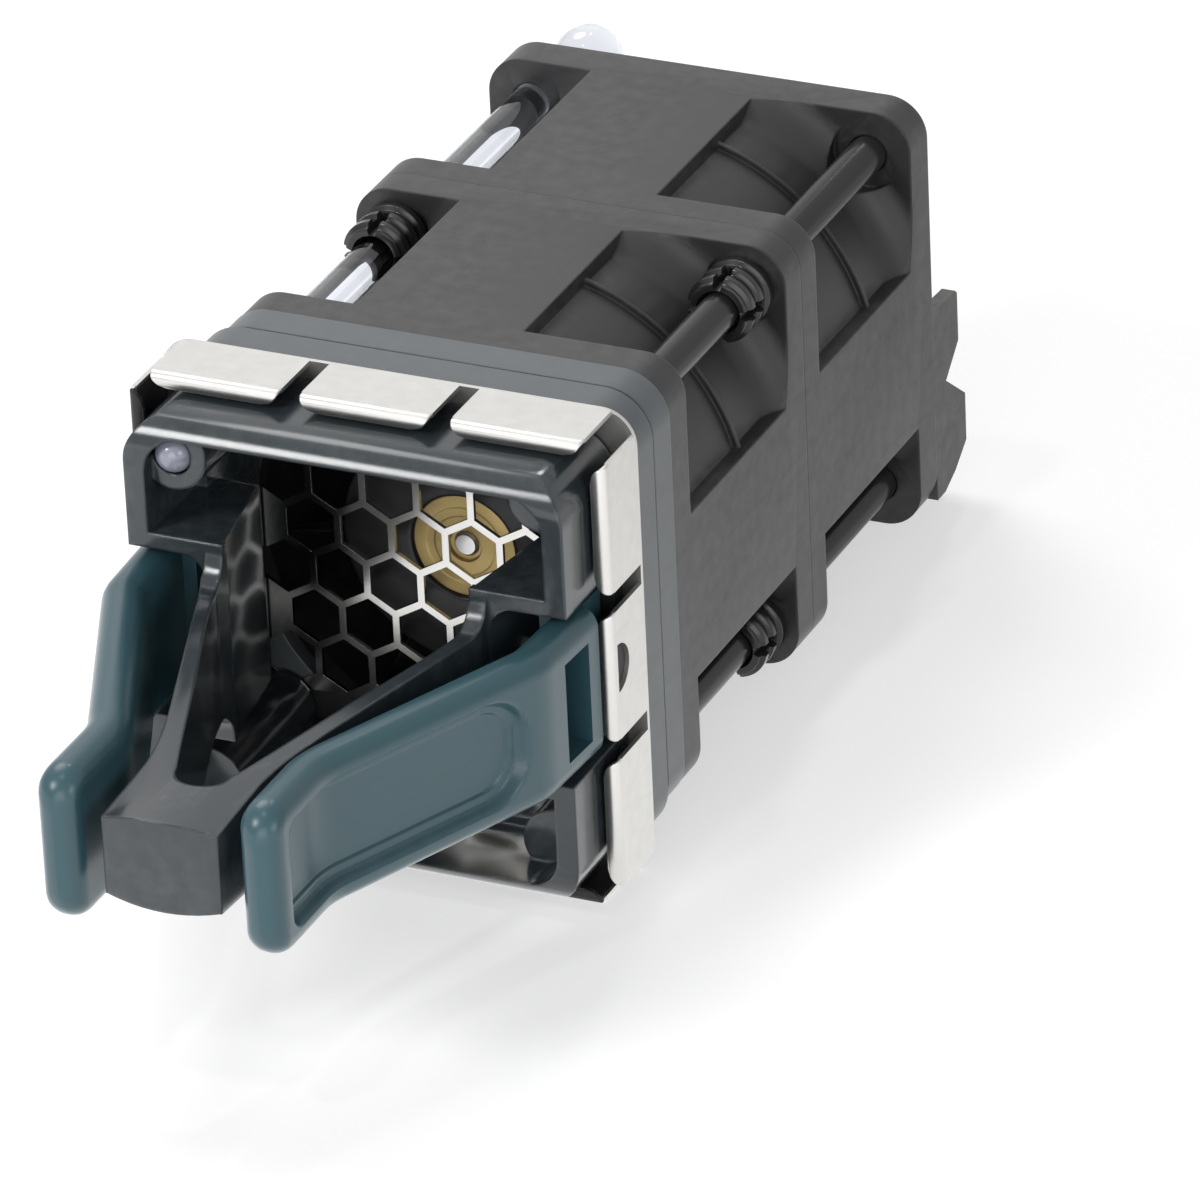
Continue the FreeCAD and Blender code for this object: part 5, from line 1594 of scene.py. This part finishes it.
    def cuts(self, y: np.ndarray, z: np.ndarray) -> np.ndarray:
        """Depth taken off the outer face at each place.

        The recess is the smooth step of the distance inside a rounded rectangle, with a second
        shallow step further in; the window and the slot are plain rectangles.

        Args:
            y: places along the lever.
            z: heights.

        Returns:
            Depths in metres.
        """
        middle = (self.recess_front + self.recess_rear) / 2
        half_long = (self.recess_rear - self.recess_front) / 2
        corner = np.where(y > middle, self.recess_rounds[1], self.recess_rounds[0])
        out_long = np.abs(y - middle) - (half_long - corner)
        out_high = np.abs(z) - (self.recess_half - corner)
        outside = np.hypot(np.maximum(out_long, 0), np.maximum(out_high, 0))
        inside = corner - outside - np.minimum(np.maximum(out_long, out_high), 0)
        recess = self.recess_depth * smooth_step(inside / self.recess_wall)
        recess = recess + self.recess_step * smooth_step((inside - self.step_inset) / self.step_wall)
        window = (y > self.window_front) & (y < self.window_rear) & (np.abs(z) < self.window_half)
        slot = np.abs(y - self.slot_place) < self.slot_width / 2
        slot = slot & (np.abs(z - self.slot_height) < self.slot_half)
        return np.where(window, self.window_depth, recess) + np.where(slot, self.slot_depth, 0.0)

    def knuckle_rings(self) -> np.ndarray:
        """The tongue and its round end, an outline in plan carried from the lower to the upper face."""
        turn = np.linspace(0.0, np.pi, 19)
        round_end = np.stack((self.pin_x + self.knuckle * np.cos(turn),
                              self.pin_y + self.knuckle * np.sin(turn)), axis=-1)
        foot = np.array([(self.pin_x - self.knuckle, self.shoulder - self.knuckle_foot),
                         (self.pin_x + self.knuckle, self.shoulder - self.knuckle_foot)])
        outline = np.concatenate((round_end, foot))
        levels = np.array((-1.0, 1.0)) * (self.half_height - 0.05 * MM)
        rings = np.empty((2, len(outline), 3))
        rings[:, :, :2] = outline
        rings[:, :, 2] = levels[:, None]
        return rings


# ---------------------------------------------------------------- studio

@dataclass(frozen=True)
class Lamp:
    """One softbox."""

    name: str
    azimuth: float
    elevation: float
    distance: float
    size: float
    power: float

    def build(self, target: Vector) -> None:
        """Hang the softbox and turn it to the target.

        Args:
            target: the place it lights.
        """
        light = bpy.data.lights.new(self.name, "AREA")
        light.shape = "DISK"
        light.size = self.size
        light.energy = self.power
        lamp = bpy.data.objects.new(self.name, light)
        bpy.context.scene.collection.objects.link(lamp)
        turn, rise = math.radians(self.azimuth), math.radians(self.elevation)
        away = Vector((math.sin(turn) * math.cos(rise), -math.cos(turn) * math.cos(rise), math.sin(rise)))
        lamp.location = target + away * self.distance
        lamp.rotation_euler = away.to_track_quat("Z", "Y").to_euler()


@dataclass
class Studio:
    """Pale floor, soft lamps, white surround and the camera."""

    azimuth: float = 25.3
    elevation: float = 28.0
    roll: float = 2.7
    distance: float = 0.874
    lens: float = 312.0
    shift_right: float = 0.0104
    shift_up: float = -0.0056
    floor_half: float = 6.0
    floor_shade: float = 0.62
    floor_glow: float = 0.55
    ambient: float = 0.20
    mirrored_floor: float = 0.8
    pale_from: float = 0.18
    pale_to: float = 0.45
    mirrored_from: float = -0.03
    mirrored_to: float = 0.11
    lamps: tuple[Lamp, ...] = (
        Lamp("Back softbox", 238.0, 56.0, 0.8, 0.40, 2.2),
        Lamp("Mirror card", 205.0, 30.0, 0.8, 0.50, 0.22),
        Lamp("Right softbox", 56.0, 20.0, 0.45, 0.20, 0.40),
        Lamp("Left key", -34.0, 36.0, 0.9, 0.22, 3.0),
        Lamp("Front softbox", 8.0, 8.0, 1.0, 0.70, 3.8),
        Lamp("Rim light", 190.0, 60.0, 0.8, 0.05, 0.5),
        Lamp("High light", -20.0, 70.0, 0.8, 0.05, 0.4),
    )

    def build(self) -> None:
        """Build floor, world, lamps and camera."""
        low, high = (Vector(corner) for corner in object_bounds())
        centre = (low + high) / 2
        self.build_floor(low.z)
        self.build_world()
        for lamp in self.lamps:
            lamp.build(centre)
        self.build_camera(centre)

    def build_floor(self, level: float) -> None:
        """A wide floor that looks white where nothing shades it.

        Its glow grows with the distance from the middle until the floor is as white as the
        surround. Glossy faces see it brighter in front of the module than behind it.

        Args:
            level: the floor's height.
        """
        reach = self.floor_half
        points = np.array([(-reach, -reach, level), (reach, -reach, level), (reach, reach, level),
                           (-reach, reach, level)])
        floor = mesh_from_arrays("Studio_floor", points, [(0, 1, 2, 3)], closed=False)
        material = bpy.data.materials.new("Pale floor")
        material.use_nodes = True
        tree = material.node_tree
        tree.nodes.clear()
        matt = tree.nodes.new("ShaderNodeBsdfDiffuse")
        matt.inputs["Color"].default_value = (self.floor_shade, self.floor_shade, self.floor_shade, 1.0)
        glow = tree.nodes.new("ShaderNodeEmission")
        tree.links.new(self.floor_strength(tree), glow.inputs["Strength"])
        both = tree.nodes.new("ShaderNodeAddShader")
        end = tree.nodes.new("ShaderNodeOutputMaterial")
        tree.links.new(matt.outputs[0], both.inputs[0])
        tree.links.new(glow.outputs[0], both.inputs[1])
        tree.links.new(both.outputs[0], end.inputs["Surface"])
        floor.data.materials.append(material)
        floor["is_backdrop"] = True

    def floor_strength(self, tree: bpy.types.NodeTree) -> bpy.types.NodeSocket:
        """How strongly the floor glows.

        Args:
            tree: the floor's nodes.

        Returns:
            The strength's socket.
        """
        place = object_place(tree)
        away = tree.nodes.new("ShaderNodeVectorMath")
        away.operation = "LENGTH"
        tree.links.new(place, away.inputs[0])
        paler = range_node(tree, away.outputs["Value"], (self.floor_glow, 1.0),
                           (self.pale_from, self.pale_to), smooth=True)
        seen = math_node(tree, "MULTIPLY", self.looking(tree), paler)
        mirrored = range_node(tree, split(tree, place)["Y"], (self.mirrored_floor, 0.0),
                              (self.mirrored_from, self.mirrored_to), smooth=True)
        glossy = tree.nodes.new("ShaderNodeLightPath").outputs["Is Glossy Ray"]
        return math_node(tree, "MULTIPLY_ADD", glossy, mirrored, seen)

    @staticmethod
    def looking(tree: bpy.types.NodeTree) -> bpy.types.NodeSocket:
        """One where a ray comes from the camera, a glossy face or a clear piece, else zero.

        Args:
            tree: the nodes of the floor or the world.

        Returns:
            The value's socket.
        """
        path = tree.nodes.new("ShaderNodeLightPath").outputs
        seen = math_node(tree, "ADD", path["Is Camera Ray"], path["Is Glossy Ray"], clamp=True)
        return math_node(tree, "ADD", seen, path["Is Transmission Ray"], clamp=True)

    def build_world(self) -> None:
        """Even surround, white to the camera and softer on the object."""
        world = bpy.data.worlds.new("Surround")
        bpy.context.scene.world = world
        world.use_nodes = True
        tree = world.node_tree
        back = tree.nodes["Background"]
        back.inputs["Color"].default_value = (1.0, 1.0, 1.0, 1.0)
        level = range_node(tree, self.looking(tree), (self.ambient, 1.0))
        tree.links.new(level, back.inputs["Strength"])

    def build_camera(self, centre: Vector) -> None:
        """Stand the camera where it sees the module from above its front right.

        Args:
            centre: the middle of the module.
        """
        turn, rise, lean = (math.radians(v) for v in (self.azimuth, self.elevation, self.roll))
        away = Vector((math.sin(turn) * math.cos(rise), -math.cos(turn) * math.cos(rise), math.sin(rise)))
        level_right = Vector((math.cos(turn), math.sin(turn), 0.0))
        level_up = away.cross(level_right)
        right = level_right * math.cos(lean) - level_up * math.sin(lean)
        up = level_up * math.cos(lean) + level_right * math.sin(lean)
        place = centre + away * self.distance + right * self.shift_right + up * self.shift_up
        camera = bpy.data.cameras.new("Camera")
        camera.lens = self.lens
        camera.clip_start = 0.01
        stand = bpy.data.objects.new("Camera", camera)
        bpy.context.scene.collection.objects.link(stand)
        turned = Matrix((right, up, away)).transposed().to_4x4()
        stand.matrix_world = Matrix.Translation(place) @ turned
        bpy.context.scene.camera = stand


def main() -> None:
    """Build the dressed module and its studio."""
    logging.basicConfig(level=logging.INFO, format="%(name)s: %(message)s")
    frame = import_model()
    scene = bpy.context.scene
    scene.view_settings.view_transform = "Standard"
    shop = Workshop(frame)
    assemblies = [Bezel(shop), Shield(shop), *(LatchLever(shop, side) for side in Side), Rods(shop),
                  FanUnit(shop, "front", 7, 1), FanUnit(shop, "rear", 5, -1), RearEnd(shop)]
    for assembly in assemblies:
        assembly.build()
        log.info("%s is built", type(assembly).__name__)
    Studio().build()


if __name__ == "__main__":
    main()
